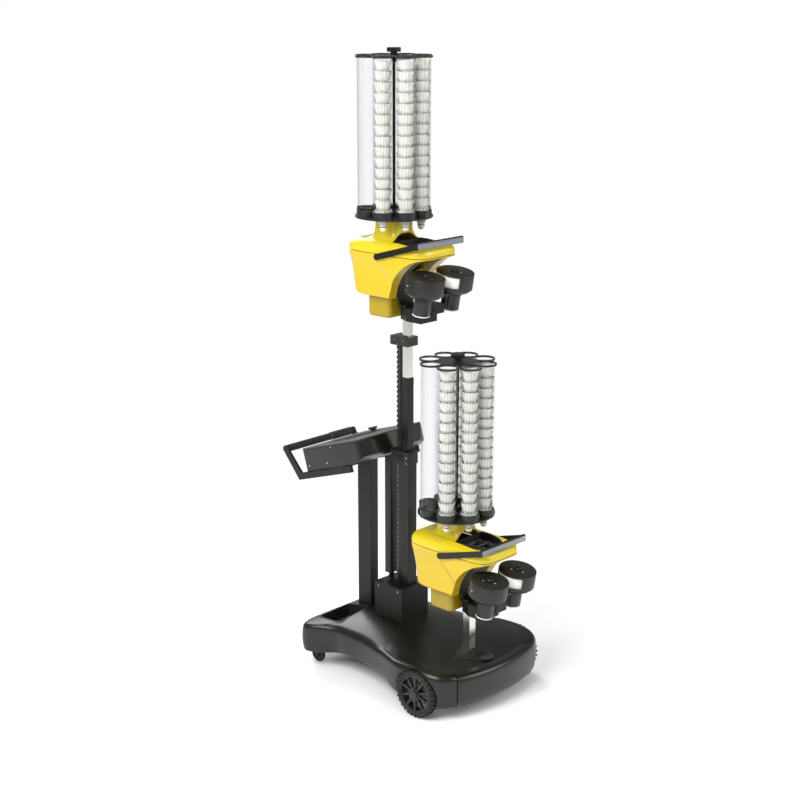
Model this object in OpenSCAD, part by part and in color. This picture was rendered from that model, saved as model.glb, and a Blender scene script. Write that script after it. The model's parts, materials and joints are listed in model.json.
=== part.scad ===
// Badminton serving machine with two serving heads.
// The front of the machine, where the shuttles leave, faces -Y, and the floor is z = 0.
// The modules are drawn with the mast at Y = 0, and placed() then moves the whole machine so that
// the origin lies under the middle of its length. All sizes are in millimetres.

/* [Base] */
// Half of the width of the base cover at its front and rear corners
base_half_w = 300; // [280:1:312]
// How much narrower each side is at the waist between the wheels
waist_cut = 60; // [20:1:80]
// Rear end of the base
base_rear = 353; // [340:1:380]
// Front end of the bumper, measured forwards from the mast
base_front = 522; // [500:1:560]
// How far the front edge sweeps back at its corners
front_sweep = 65; // [40:1:90]
// Height of the shoulder that runs round the deck
shoulder_z = 190; // [180:1:200]
// Rise of the deck above the shoulder at the mast
deck_crown = 44; // [20:1:60]
// Wall of the base cover
cover_wall = 4; // [3:0.5:6]
// Ground clearance under the base cover
base_clear = 70; // [55:1:80]

/* [Wheels] */
// Outer radius of the main wheels
wheel_r = 95; // [85:1:100]
// Width of the main tyres
tyre_w = 45; // [35:1:46]
// Distance between the outer faces of the two main wheels
track_w = 642; // [636:1:660]
// Forward distance from the mast to the main axle
axle_front = 335; // [320:1:345]
// Radius of the main axle
axle_r = 8; // [6:0.5:10]
// Radius of the castor wheels
caster_r = 34; // [30:1:34]
// Width of the castor wheels
caster_w = 22; // [16:1:28]
// Half of the distance between the castor stems
caster_x = 215; // [190:1:225]
// Distance of the castor stems behind the mast
caster_y = 280; // [260:1:285]

/* [Mast] */
// Height of the top face of the upper post
post_top = 1463; // [1400:1:1520]
// Side of the square upper post
post_w = 28; // [24:1:32]
// Side of the square middle tube
middle_w = 33.6; // [33.6:0.2:36]
// Height of the top of the middle tube at rest
middle_top = 1232; // [1180:1:1290]
// Height of the top of the outer column
column_top = 931; // [880:1:1000]
// Width of the outer column across the machine
column_w = 48; // [48:1:54]
// Depth of the outer column along the machine
column_d = 52; // [50:1:56]
// Wall of the outer column
column_wall = 4; // [3:0.5:4]
// Travel of the mast from the lowest to the highest setting
lift_travel = 620; // [300:10:620]
// Width of the foot box
foot_w = 156; // [140:1:170]
// Length of the foot box
foot_d = 152; // [145:1:165]
// Height of the top of the foot box
foot_top = 371; // [340:1:400]

/* [Console] */
// Width of the handle post
handle_post_w = 44; // [36:1:50]
// Depth of the handle post
handle_post_d = 73; // [60:1:80]
// Distance of the front face of the handle post behind the mast
handle_post_y = 188; // [180:1:200]
// Height where the console rests on the handle post
console_z = 853; // [800:1:900]
// Slope of the console towards the person behind it
console_tilt = 18; // [10:1:25]
// Width of the console
console_w = 372; // [320:1:400]
// Thickness of the console
console_h = 95; // [70:1:100]
// Length of the console in front of the handle post's middle
console_front = 170; // [150:1:175]
// Length of the console behind the handle post's middle
console_rear = 155; // [130:1:160]
// Radius of the grip bar
grip_bar_r = 11; // [9:0.5:13]
// Length of each rubber grip
grip_len = 138; // [100:1:150]
// Height of the grip bar above the console's underside
grip_rise = 107; // [95:1:125]

/* [Heads] */
// Forward distance from the mast to the front post, which carries the lower head
lower_head_y = 336; // [330:1:345]
// Height of the top of the front post
front_post_top = 339; // [330:1:360]
// Side of the square front post
front_post_w = 35; // [30:1:38]
// Distance of the carousel behind the post that carries the head
carousel_y = 74; // [70:1:80]
// Height of the carousel disc's underside above the post
disc_rise = 396; // [385:1:410]
// Half of the width of the yellow housing
housing_half_w = 118; // [112:1:124]
// Distance from the post to the front edge of the housing
housing_front = 170; // [160:1:180]
// Distance from the post to the rear edge of the housing
housing_rear = 236; // [225:1:245]
// Depth of the seam between the two housing halves, below the disc
seam_drop = 130; // [125:1:135]
// Depth of the bottom of the lower housing, below the disc
housing_drop = 300; // [290:1:310]
// Wall of the housing
housing_wall = 3; // [2.5:0.5:4]
// Radius of the arch in the lower housing
arch_r = 192; // [188:1:196]

/* [Carousel] */
// Number of tube places round the carousel
tube_count = 8; // [6:1:8]
// Radius of the circle through the tube axes
tube_circle_r = 111.7; // [108:0.1:118]
// Outer radius of a tube
tube_r = 37; // [34:0.5:38]
// Wall of a tube
tube_wall = 1.8; // [1.2:0.2:2.4]
// Length of a tube
tube_len = 600; // [400:1:640]
// Radius of the carousel disc
disc_r = 151; // [148:1:156]
// Number of tubes that are filled
filled_count = 5; // [1:1:5]
// Distance from one shuttle to the next in a tube
shuttle_pitch = 39; // [30:1:45]

/* [Launcher] */
// Half of the distance between the roller axes
roller_x = 82; // [80:0.5:86]
// Radius of the foam rollers
roller_r = 69; // [64:0.5:70]
// Height of the foam rollers
roller_h = 58; // [45:1:62]
// Outer radius of the roller guards
guard_r = 74; // [73:0.5:76]
// Radius of the motor housings below the guards
motor_r = 31; // [26:0.5:33]
// Forward lean of the roller axes at rest
launch_lean = 10; // [0:1:12]
// Distance of the tilt pivot in front of the post
pivot_front = 150; // [145:1:160]
// Depth of the tilt pivot below the disc
pivot_drop = 325; // [320:1:330]
// Radius of the tilt pivot pin
pivot_r = 6; // [5:0.5:8]

/* [Hidden] */
// Radial clearance of a shaft that turns in a bore
run_gap = 0.05;
// Clearance between sliding or loose square pieces
slide_gap = 0.4;
// Gap between a cover and what passes through it
pass_gap = 1;
$fn = 48;

axle_z = wheel_r;
tyre_inner_x = track_w / 2 - tyre_w;
chassis_top = 110;
chassis_low = 80;
mast_seat_z = 222;
foot_front = -42;
foot_mid_y = foot_front + foot_d / 2;
column_mid_y = -1;
middle_wall = (middle_w - post_w) / 2 - slide_gap;
handle_mid_y = handle_post_y + handle_post_d / 2;
post_len = 660;
middle_bottom = column_top - lift_travel / 2 - 130;
chain_y = 39;
spigot_r = 12;
washer_t = 2;
block_top = -disc_rise + 56;
block_bottom = -disc_rise + 3 + washer_t;
plate_z = -seam_drop - 4;
ring_z = tube_len + 5;
tube_z = 6;
first_tube_angle = -157.5;
tube_step = 360 / tube_count;
upper_z = post_top + disc_rise;
lower_z = front_post_top + disc_rise;
ear_x = 98;
bail_x = housing_half_w + 8;
bail_pivot_y = 47;
bail_pivot_z = -140;
bail_bar_y = -165;
bail_bar_z = -77;
drum_low = 59;
drum_high = 134;

black = [0.13, 0.13, 0.12];
grey = [0.3, 0.3, 0.28];
yellow = [0.95, 0.85, 0.2];
amber = [0.93, 0.75, 0.18];
steel = [0.8, 0.82, 0.8];

// Shared shapes

function mix(a, b, t) = a + (b - a) * t;
function ease(t) = let (c = min(max(t, 0), 1)) c * c * (3 - 2 * c);

// A point on the edge of the square from -1 to 1, at step i of n
function square_edge(i, n) =
    let (t = 4 * i / n, k = floor(t), u = 2 * (t - k) - 1)
    k == 0 ? [1, u] : k == 1 ? [-u, 1] : k == 2 ? [-1, -u] : [u, -1];

// The same point moved onto a rounded rectangle of half size 1
function rounded_edge(i, n, power) =
    let (p = square_edge(i, n), k = pow(pow(abs(p.x), power) + pow(abs(p.y), power), 1 / power))
    p / k;

// A closed solid from rings of points, from the first ring to the last.
// With loop set the last ring joins the first, otherwise each end is closed by a flat face.
module skin(rings, loop = false) {
    n = len(rings[0]);
    m = len(rings);
    spans = loop ? m : m - 1;
    walls = [for (j = [0 : spans - 1]) for (i = [0 : n - 1])
        let (a = j * n, b = ((j + 1) % m) * n, k = (i + 1) % n)
        each [[a + i, b + i, b + k], [a + i, b + k, a + k]]];
    ends = loop ? [] : [[for (i = [0 : n - 1]) i], [for (i = [n - 1 : -1 : 0]) (m - 1) * n + i]];
    polyhedron(points = [for (ring = rings) each ring], faces = concat(walls, ends));
}

// A box given by its lower and upper corners
module span_box(low, high) {
    translate(low) cube(high - low);
}

// A cylinder along X, centred on the given point
module rod_x(centre, length, r) {
    translate(centre) rotate([0, 90, 0]) cylinder(h = length, r = r, center = true);
}

// A flat rounded plate, from z to z + h
module rounded_plate(w, d, r, h) {
    linear_extrude(h) {
        square([w - 2 * r, d], center = true);
        square([w, d - 2 * r], center = true);
        for (sx = [-1, 1], sy = [-1, 1]) translate([sx * (w / 2 - r), sy * (d / 2 - r)]) circle(r);
    }
}

// Base

// Half width of the base cover at a distance y along the machine
function base_width(y) =
    base_half_w - waist_cut * ease((y + 440) / 200) * ease((330 - y) / 130) - 8 * ease((y - 100) / 200);

// Height of the deck: crowned round the mast, level along its shoulders
function deck_z(x, y) =
    shoulder_z + deck_crown * max(0, 1 - pow(x / 245, 2)) * (1 - pow((y - 35) / (y > 35 ? 300 : 390), 2));

// Point i of the base outline, drawn in by a share of its size
function base_point(i, n, inset) =
    let (
        e = rounded_edge(i, n, 9),
        half_l = (base_rear + base_front) / 2,
        mid = (base_rear - base_front) / 2,
        y0 = mid + e.y * (half_l - inset),
        x0 = e.x * (base_width(mid + e.y * half_l) - inset)
    )
    [x0, y0 + front_sweep * pow(e.x, 2) * ease(-e.y * 1.4)];

// A ring of the base cover: drop is the depth below the deck
function base_ring(n, inset, drop) =
    [for (i = [0 : n - 1]) let (p = base_point(i, n, inset)) [p.x, p.y, deck_z(p.x, p.y) - drop]];

// A ring of the base cover at a height, lower by dip at the front
function base_level(n, inset, z, dip) =
    [for (i = [0 : n - 1]) let (p = base_point(i, n, inset)) [p.x, p.y, z - dip * ease((-p.y - 330) / 120)]];

// A ring on the deck, drawn in to a share of the outline
function deck_ring(n, share, inset, drop) =
    [for (i = [0 : n - 1])
        let (p = base_point(i, n, inset), x = p.x * share, y = mix(-60, p.y, share))
        [x, y, deck_z(x, y) - drop]];

module base_cover_skin() {
    n = 88;
    w = cover_wall;
    skin([
        deck_ring(n, 0.04, 30, w), deck_ring(n, 0.5, 30, w), deck_ring(n, 0.8, 30, w), base_ring(n, 30, w),
        base_ring(n, 11 + w, 9 + w), base_ring(n, 1 + w, 28), base_level(n, 1 + w, base_clear + 30, 8),
        base_level(n, 5 + w, base_clear, 14), base_level(n, 5, base_clear, 14),
        base_level(n, 1, base_clear + 30, 8),
        base_level(n, 0, base_clear + 60, 4), base_ring(n, 2, 24), base_ring(n, 6, 12), base_ring(n, 13, 4.5),
        base_ring(n, 22, 1), base_ring(n, 32, 0), deck_ring(n, 0.8, 30, 0), deck_ring(n, 0.5, 30, 0),
        deck_ring(n, 0.04, 30, 0)
    ]);
}

bumper_r = (pow(base_half_w, 2) + pow(front_sweep, 2)) / (2 * front_sweep);
bumper_angle = 33;

// The D-shaped section of the bumper, drawn at its radius
module bumper_section(grow) {
    translate([bumper_r - 26, 104]) {
        scale([1, 1.8]) circle(26 + grow);
        translate([-22 - grow, -46.8 - grow]) square([22 + grow, 93.6 + 2 * grow]);
    }
}

module bumper_sweep(grow) {
    extra = grow / 12;
    translate([0, bumper_r - base_front, 0])
        rotate([0, 0, -90 - bumper_angle / 2 - extra])
        rotate_extrude(angle = bumper_angle + 2 * extra, $fn = 180) bumper_section(grow);
}

module bumper() {
    color(black) {
        bumper_sweep(0);
        for (sx = [-1, 1])
            span_box([sx * 90 - 15, -base_front + 40, chassis_low],
                [sx * 90 + 15, -base_front + 92, chassis_top]);
    }
}

cap_y = 418;
cap_r = 30;
bay_x = -121;
bay_w = 166;
bay_y = 245;
bay_d = 118;

module base_cover() {
    boss_x = 170;
    color(black)
    difference() {
        union() {
            difference() {
                base_cover_skin();
                translate([0, -cap_y, 100]) cylinder(h = 150, r = cap_r - 1);
            }
            for (sx = [-1, 1], y = [-220, 20])
                span_box([sx * boss_x - 10, y - 10, chassis_top],
                    [sx * boss_x + 10, y + 10, deck_z(boss_x, y) - 3]);
            translate([0, -cap_y, shoulder_z - 58]) difference() {
                cylinder(h = 38, r = cap_r + 3);
                translate([0, 0, 3]) cylinder(h = 60, r = cap_r);
            }
            translate([0, -cap_y, shoulder_z - 56]) cylinder(h = 26, r = 12);
        }
        bumper_sweep(pass_gap);
        span_box([-220, -base_front - 5, 30], [220, -base_front + 60, 58]);
        rod_x([0, -axle_front, axle_z], 2 * tyre_inner_x - 12, axle_r + 6);
        for (sx = [-1, 1]) rod_x([sx * (tyre_inner_x - 6 + 50), -axle_front, axle_z], 100, wheel_r + 6);
        translate([0, foot_mid_y, 150]) linear_extrude(200)
            square([foot_w + 2 * pass_gap, foot_d + 2 * pass_gap], center = true);
        translate([0, handle_mid_y, 150]) linear_extrude(200)
            square([handle_post_w + 2 * pass_gap, handle_post_d + 2 * pass_gap], center = true);
        translate([0, -lower_head_y, 150]) linear_extrude(200)
            square(front_post_w + 2 * pass_gap, center = true);
        translate([bay_x, bay_y, 150]) linear_extrude(200) square([bay_w, bay_d], center = true);
    }
}

// Steel frame under the cover, with the seats of the mast and the posts
module chassis() {
    rail_x = 170;
    rail_w = 36;
    block_x = tyre_inner_x - 30;
    color(grey)
    difference() {
        union() {
            for (sx = [-1, 1]) {
                span_box([sx * rail_x - rail_w / 2, -400, chassis_low],
                    [sx * rail_x + rail_w / 2, 310, chassis_top]);
                span_box([sx * block_x - 12, -axle_front - 22, chassis_low - 12],
                    [sx * block_x + 12, -axle_front + 22, chassis_top + 10]);
                translate([sx * (caster_x + rail_x) / 2 + sx * 10, caster_y, chassis_top - 10])
                    linear_extrude(10)
                    square([caster_x - rail_x + 36, 60], center = true);
            }
            for (y = [-base_front + 92 + 15, -190, foot_mid_y, handle_mid_y, 295])
                span_box([-rail_x, y - 15, chassis_low], [rail_x, y + 15, chassis_top]);
            span_box([-block_x, -axle_front - 15, chassis_low], [block_x, -axle_front + 15, chassis_top]);
            translate([0, foot_mid_y, chassis_low]) linear_extrude(mast_seat_z - chassis_low)
                square([foot_w - 8, foot_d - 8], center = true);
            translate([0, handle_mid_y, chassis_low]) linear_extrude(chassis_top - chassis_low)
                square([handle_post_w + 40, handle_post_d + 30], center = true);
            span_box([-60, -lower_head_y - 40, chassis_low], [60, -lower_head_y + 40, chassis_top]);
        }
        translate([0, foot_mid_y, chassis_low - 1]) linear_extrude(mast_seat_z - chassis_low - 9)
            square([foot_w - 20, foot_d - 20], center = true);
        rod_x([0, -axle_front, axle_z], 2 * tyre_inner_x, axle_r);
        for (sx = [-1, 1]) {
            translate([sx * caster_x, caster_y, 60]) cylinder(h = 100, r = 6 + run_gap);
            span_box([sx * rail_x - rail_w / 2 + 3, -401, chassis_low + 3],
                [sx * rail_x + rail_w / 2 - 3, -axle_front - 40, chassis_top - 3]);
        }
    }
}

module battery_tray() {
    color(black)
    translate([bay_x, bay_y, chassis_top]) difference() {
        linear_extrude(78) square([bay_w - 2 * pass_gap, bay_d - 2 * pass_gap], center = true);
        translate([0, 0, 3]) linear_extrude(120) square([bay_w - 8, bay_d - 8], center = true);
    }
}

module battery() {
    color(grey)
    translate([bay_x, bay_y, chassis_top + 3]) {
        rounded_plate(bay_w - 20, bay_d - 22, 6, 42);
        translate([0, 0, 42]) rounded_plate(bay_w - 34, bay_d - 36, 6, 4);
        for (sx = [-1, 1]) translate([sx * 40, 20, 46]) cylinder(h = 8, r = 6);
        difference() {
            translate([0, -14, 46]) rounded_plate(70, 16, 6, 14);
            translate([-24, -30, 45]) cube([48, 32, 9]);
        }
    }
}

// Wheels

module axle() {
    color(steel) {
        rod_x([0, -axle_front, axle_z], track_w - 8, axle_r);
        for (sx = [-1, 1]) rod_x([sx * (tyre_inner_x - 8), -axle_front, axle_z], 6, axle_r + 4);
    }
}

module tyre(side) {
    lugs = 30;
    rim_r = wheel_r - 22;
    color(black)
    translate([side * (track_w / 2 - tyre_w / 2), -axle_front, axle_z]) rotate([0, 90, 0]) {
        rotate_extrude($fn = 96) polygon([
            [rim_r, -tyre_w / 2 + 6], [rim_r + 6, -tyre_w / 2], [wheel_r - 10, -tyre_w / 2],
            [wheel_r - 5, -tyre_w / 2 + 8], [wheel_r - 5, tyre_w / 2 - 8],
            [wheel_r - 10, tyre_w / 2], [rim_r + 6, tyre_w / 2], [rim_r, tyre_w / 2 - 6]
        ]);
        for (i = [0 : lugs - 1], s = [-1, 1]) rotate([0, 0, (i + s / 4) * 360 / lugs])
            translate([wheel_r - 7, -3.6, s * tyre_w / 4 - 7]) cube([6.9, 7.2, 14]);
    }
}

module rim(side) {
    rim_r = wheel_r - 22;
    spokes = 10;
    color(grey)
    translate([side * (track_w / 2 - tyre_w / 2), -axle_front, axle_z])
    rotate([0, side * 90, 0]) difference() {
        union() {
            difference() {
                cylinder(h = tyre_w - 12, r = rim_r, center = true, $fn = 96);
                translate([0, 0, -tyre_w]) cylinder(h = 2 * tyre_w, r = rim_r - 5);
            }
            translate([0, 0, -tyre_w / 2 + 4]) cylinder(h = tyre_w - 6, r = 17);
            intersection() {
                cylinder(h = tyre_w, r = rim_r - 2, center = true);
                for (i = [0 : spokes - 1])
                    rotate([0, 0, i * 360 / spokes]) translate([10, -4.5, 2]) cube([rim_r - 10, 9, 12]);
            }
            translate([0, 0, 4]) cylinder(h = 13, r = 24);
        }
        translate([0, 0, -tyre_w]) cylinder(h = 2 * tyre_w, r = axle_r + run_gap);
    }
}

module caster_fork(side) {
    trail = 24;
    plate_z0 = chassis_top - 10;
    cheek = 3;
    inner = caster_w / 2 + 1;
    color(steel)
    translate([side * caster_x, caster_y, 0]) {
        translate([0, 0, plate_z0 - 6]) cylinder(h = 6, r = 22);
        translate([0, 0, plate_z0 - 6]) cylinder(h = 26, r = 6);
        translate([0, 0, plate_z0 + 10]) cylinder(h = 4, r = 10);
        for (sx = [-1, 1])
            translate([sx * (inner + cheek / 2) - cheek / 2, 0, 0]) rotate([90, 0, 90])
                linear_extrude(cheek) polygon([
                [-16, plate_z0 - 4], [16, plate_z0 - 4], [trail + 11, caster_r], [trail, caster_r - 11],
                [trail - 11, caster_r]
            ]);
        rod_x([0, trail, caster_r], 2 * (inner + cheek), 4);
    }
}

module caster_wheel(side) {
    color(black)
    translate([side * caster_x, caster_y + 24, caster_r]) rotate([0, 90, 0]) difference() {
        rotate_extrude() polygon([
            [3, -caster_w / 2], [13, -caster_w / 2], [13, -5], [24, -5], [24, -caster_w / 2 + 2],
            [caster_r - 4, -caster_w / 2 + 2], [caster_r, -5], [caster_r, 5],
            [caster_r - 4, caster_w / 2 - 2],
            [24, caster_w / 2 - 2], [24, 5], [13, 5], [13, caster_w / 2], [3, caster_w / 2]
        ]);
        cylinder(h = caster_w + 2, r = 4 + run_gap, center = true);
    }
}

// Mast

module square_tube(w, d, wall, z0, z1) {
    translate([0, 0, z0]) linear_extrude(z1 - z0) difference() {
        square([w, d], center = true);
        square([w - 2 * wall, d - 2 * wall], center = true);
    }
}

module foot_box() {
    color(black)
    difference() {
        translate([0, foot_mid_y, mast_seat_z]) linear_extrude(foot_top - mast_seat_z)
            square([foot_w, foot_d], center = true);
        translate([0, foot_mid_y, mast_seat_z - 1]) linear_extrude(foot_top - mast_seat_z - 2)
            square([foot_w - 6, foot_d - 6], center = true);
        translate([0, chain_y, foot_top - 10]) linear_extrude(20) square(26, center = true);
        translate([0, column_mid_y, foot_top - 10]) linear_extrude(20)
            square([column_w, column_d], center = true);
    }
}

// The outer column with the head block that guides the middle tube and holds the lift drive
module outer_column() {
    head_h = 51;
    color(black) {
        translate([0, column_mid_y, 0]) square_tube(column_w, column_d, column_wall, mast_seat_z, column_top);
        difference() {
            translate([0, 22, column_top - head_h]) linear_extrude(head_h) difference() {
                square([column_w + 6, 106], center = true);
                translate([0, -22 + column_mid_y]) square([column_w, column_d], center = true);
                translate([0, 16.5]) square([26, 33], center = true);
            }
            for (z = [14, 37]) rod_x([-column_w / 2 - 3, 0, column_top - z], 4, 4);
            console_space();
        }
        translate([0, column_mid_y, column_top - 6]) linear_extrude(6) difference() {
            square([column_w - 2 * column_wall, column_d - 2 * column_wall], center = true);
            translate([0, -column_mid_y]) square(middle_w + 2 * slide_gap, center = true);
        }
        translate([0, column_mid_y, middle_bottom - 20.3]) linear_extrude(20) difference() {
            square([column_w - 2 * column_wall, column_d - 2 * column_wall], center = true);
            translate([0, -column_mid_y]) square(middle_w - 8, center = true);
        }
    }
}

module lift_drive() {
    color(black) {
        difference() {
            span_box([-20, 75, 400], [20, 107, column_top - 26]);
            console_space();
        }
        translate([0, 90, foot_top]) cylinder(h = 40, r = 11);
    }
    color(steel) translate([0, 91, 396]) rounded_plate(44, 36, 4, 4);
}

module middle_tube() {
    color(black) {
        square_tube(middle_w, middle_w, middle_wall, middle_bottom, middle_top);
        translate([middle_w / 2 - 1, -10, middle_top - 34]) rotate([90, 0, 90]) linear_extrude(5)
            polygon([[-4, 0], [22, 0], [22, 26], [14, 34], [4, 34], [-4, 26]]);
    }
}

module upper_post() {
    color(steel) {
        square_tube(post_w, post_w, 3, post_top - post_len, post_top);
        translate([0, 0, post_top - 12]) linear_extrude(12) square(post_w - 4, center = true);
        spigot(post_top, post_w / 2 + 4);
    }
}

// Round spigot with its thrust washer, on top of a post
module spigot(z, washer_r) {
    translate([0, 0, z + 3]) cylinder(h = washer_t, r = washer_r);
    translate([0, 0, z - 6]) cylinder(h = 56 + 6, r = spigot_r);
    translate([0, 0, z]) cylinder(h = 3, r = spigot_r + 2);
}

module collar_block() {
    top = middle_top + 165;
    color(black)
    difference() {
        translate([0, 20, top - 36]) linear_extrude(36) difference() {
            square([60, 93], center = true);
            translate([0, -20]) square(post_w, center = true);
        }
        for (z = [10, 26]) rod_x([-30, 45, top - z], 8, 3);
    }
}

// Cable chain behind the post: a strip of links that rides with the collar
module cable_chain() {
    pitch = 20;
    top = middle_top + 165 - 36;
    links = floor((top - 270) / pitch);
    color(black)
    for (i = [0 : links - 1]) translate([0, chain_y, top - (i + 1) * pitch]) {
        linear_extrude(pitch) square([18, 16], center = true);
        linear_extrude(pitch * 0.6) square([22, 22], center = true);
    }
}

// Handle and console

module handle_post() {
    color(black) {
        translate([0, handle_mid_y, 0]) difference() {
            square_tube(handle_post_w, handle_post_d, 3, chassis_top, console_z + 40);
            tilted_cut();
        }
    }
}

// Everything above the console's underside, in the handle post's own place
module tilted_cut() {
    translate([0, 0, console_z]) rotate([-console_tilt, 0, 0]) translate([-200, -300, 0])
        cube([400, 600, 400]);
}

// Puts a shape in the console's own place: z = 0 is its underside
module on_console() {
    translate([0, handle_mid_y, console_z]) rotate([-console_tilt, 0, 0]) children();
}

// The room that the console takes beside the mast
module console_space() {
    on_console() span_box([-column_w, -console_front - pass_gap, -pass_gap], [column_w, 0, console_h]);
}

console_mid = (console_rear - console_front) / 2;
console_len = console_rear + console_front;
lid_t = 5;

// Outer or inner block of the console, with the slope along its lower front edge
module console_block(wall, h) {
    difference() {
        translate([0, console_mid, wall]) rounded_plate(console_w - 2 * wall, console_len - 2 * wall,
            26 - wall, h);
        translate([-console_w, -console_front, 0]) rotate([90, 0, 90]) linear_extrude(2 * console_w)
            polygon([[-20, -20], [66, -20], [66, 0], [48 + wall, 0], [0, 23 + 1.3 * wall],
                [-20, 23 + 1.3 * wall]]);
    }
}

module console_tray() {
    color(black)
    on_console() {
        difference() {
            console_block(0, console_h - lid_t);
            console_block(4, console_h);
        }
        for (sx = [-1, 1]) translate([sx * 60, 70, 2]) cylinder(h = console_h - lid_t - 2, r = 6);
    }
}

module console_lid() {
    color(grey)
    on_console() translate([0, 0, console_h - lid_t]) difference() {
        translate([0, console_mid, 0]) rounded_plate(console_w, console_len, 26, lid_t);
        translate([0, 40, lid_t - 2]) rounded_plate(210, 130, 4, 5);
        translate([130, 70, -1]) cylinder(h = lid_t + 2, r = 12 + run_gap);
    }
}

// Push button that stops the machine
module stop_button() {
    color([0.75, 0.08, 0.06])
    on_console() translate([130, 70, console_h]) {
        translate([0, 0, -14]) cylinder(h = 22, r = 12);
        translate([0, 0, 7]) cylinder(h = 9, r = 19);
    }
}

grip_y = console_rear + 106;
grip_r = 16;
front_reach = lower_head_y + pivot_front + guard_r * cos(launch_lean) + drum_high * sin(launch_lean);
rear_reach = handle_mid_y + grip_y * cos(console_tilt) + grip_rise * sin(console_tilt) + grip_r + 1;

// Side bars under the console, with the arms and the grip bar behind it
module handle_frame() {
    bar_x = console_w / 2 + 6;
    knee_y = console_rear + 60;
    color(black)
    on_console() {
        for (sx = [-1, 1]) {
            span_box([sx * bar_x - 6, -console_front + 64, -28], [sx * bar_x + 6, knee_y - 12, 0]);
            translate([sx * bar_x - 6, 0, 0]) rotate([90, 0, 90]) linear_extrude(12) polygon([
                [knee_y - 40, -28], [knee_y + 4, -28], [grip_y + 14, grip_rise - 4],
                [grip_y - 10, grip_rise + 6], [knee_y - 18, 0], [knee_y - 40, 0]
            ]);
            rod_x([sx * bar_x, grip_y, grip_rise], 12, 15);
        }
        span_box([-bar_x, knee_y - 40, -28], [bar_x, knee_y - 34, 0]);
        for (y = [-78, 54]) span_box([-bar_x, y, -6], [bar_x, y + 24, 0]);
        rod_x([0, grip_y, grip_rise], 2 * bar_x, grip_bar_r);
    }
}

module grips() {
    color([0.08, 0.08, 0.08])
    on_console() for (sx = [-1, 1]) translate([sx * (console_w / 2 - grip_len / 2), grip_y, grip_rise])
        rotate([0, 90, 0]) difference() {
            union() {
                cylinder(h = grip_len, r = grip_r, center = true);
                for (i = [-1 : 1]) translate([0, 0, i * 34]) cylinder(h = 22, r = grip_r + 1, center = true);
            }
            cylinder(h = grip_len + 2, r = grip_bar_r, center = true);
        }
}

module front_post() {
    color(steel)
    translate([0, -lower_head_y, 0]) {
        square_tube(front_post_w, front_post_w, 3, chassis_top, front_post_top);
        translate([0, 0, front_post_top - 12]) linear_extrude(12) square(front_post_w - 4, center = true);
        spigot(front_post_top, front_post_w / 2 + 2);
    }
}

// Serving head. Its frame of reference stands on the post's axis,
// with z = 0 at the underside of the carousel disc.

// Point i of the housing outline between a front and a rear edge
function housing_ring(n, half_w, front, rear, power, z) =
    [for (i = [0 : n - 1])
        let (e = rounded_edge(i, n, power))
        [e.x * half_w, (rear + front) / 2 + e.y * (rear - front) / 2, z]];

// Depth of the upper housing's top face: level at the rear, lower towards the front
function top_fall(y) = 12 * ease((-y - 20) / 150);

function cover_ring(n, inset, z, fall = 0) =
    [for (p = housing_ring(n, housing_half_w - inset, inset - housing_front, housing_rear - inset, 5.5, z))
        [p.x, p.y, p.z - fall * top_fall(p.y)]];

// A ring of the neck under the carousel
function neck_ring(n, half, z, power = 4) =
    housing_ring(n, half, carousel_y - half, carousel_y + half, power, z);

// Ring between the top face and the neck
function rise_ring(n, t, z, w) =
    [for (i = [0 : n - 1])
        let (a = cover_ring(n, 34 + w, -84 - w, 1)[i], b = neck_ring(n, 64 - w, z)[i])
        [mix(a.x, b.x, t), mix(a.y, b.y, t), mix(a.z, b.z, t * t * t)]];

module cover_skin() {
    n = 52;
    w = housing_wall;
    skin([
        cover_ring(n, w, -seam_drop), cover_ring(n, 0, -seam_drop), cover_ring(n, 0, -seam_drop + 16),
        cover_ring(n, 4, -seam_drop + 30), cover_ring(n, 16, -seam_drop + 40, 0.6), cover_ring(n, 34, -84, 1),
        rise_ring(n, 0.5, -72, 0), rise_ring(n, 0.85, -66, 0), neck_ring(n, 62, -60), neck_ring(n, 60, -30),
        neck_ring(n, 60, -8), neck_ring(n, 57, -5), neck_ring(n, 22, -5, 2),
        neck_ring(n, 22, -5 - w, 2), neck_ring(n, 56, -5 - w), neck_ring(n, 57, -30),
        neck_ring(n, 59, -60 - w),
        rise_ring(n, 0.85, -66 - w, w), rise_ring(n, 0.5, -72 - w, w), cover_ring(n, 34 + w, -84 - w, 1),
        cover_ring(n, 16 + w, -seam_drop + 37, 0.6), cover_ring(n, 4 + w, -seam_drop + 27),
        cover_ring(n, w, -seam_drop + 14)
    ], loop = true);
}

// The opening over the feeding mechanism
module recess_cut() {
    translate([0, 0, -120]) linear_extrude(60)
        polygon([[-86, 8], [-70, 14], [70, 14], [86, 8], [76, -128], [-76, -128]]);
}

module head_cover() {
    color(yellow)
    difference() {
        union() {
            cover_skin();
            for (sx = [-1, 1])
                span_box([sx * 60 - 8, 10 - housing_front, -108],
                    [sx * 60 + 8, 20 - housing_front, bail_bar_z - 14]);
        }
        recess_cut();
    }
}

// Solid form of the lower housing, drawn in by w all round
module shell_form(w, top) {
    n = 52;
    low_front = w - 140;
    half = housing_half_w - w;
    rear = housing_rear - w;
    bottom = -housing_drop + w;
    skin([
        housing_ring(n, half - 14, low_front, rear - 50, 7, bottom),
        housing_ring(n, half - 7, low_front, rear - 42, 7, bottom + 5),
        housing_ring(n, half - 4, low_front, rear - 38, 7, bottom + 14),
        housing_ring(n, half - 5, low_front - 6, rear - 22, 6, -212),
        cover_ring(n, w, -seam_drop - 14),
        cover_ring(n, w, top)
    ]);
}

module arch(r) {
    rod_x([0, -housing_front - 25, -pivot_drop], 400, r);
}

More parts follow.
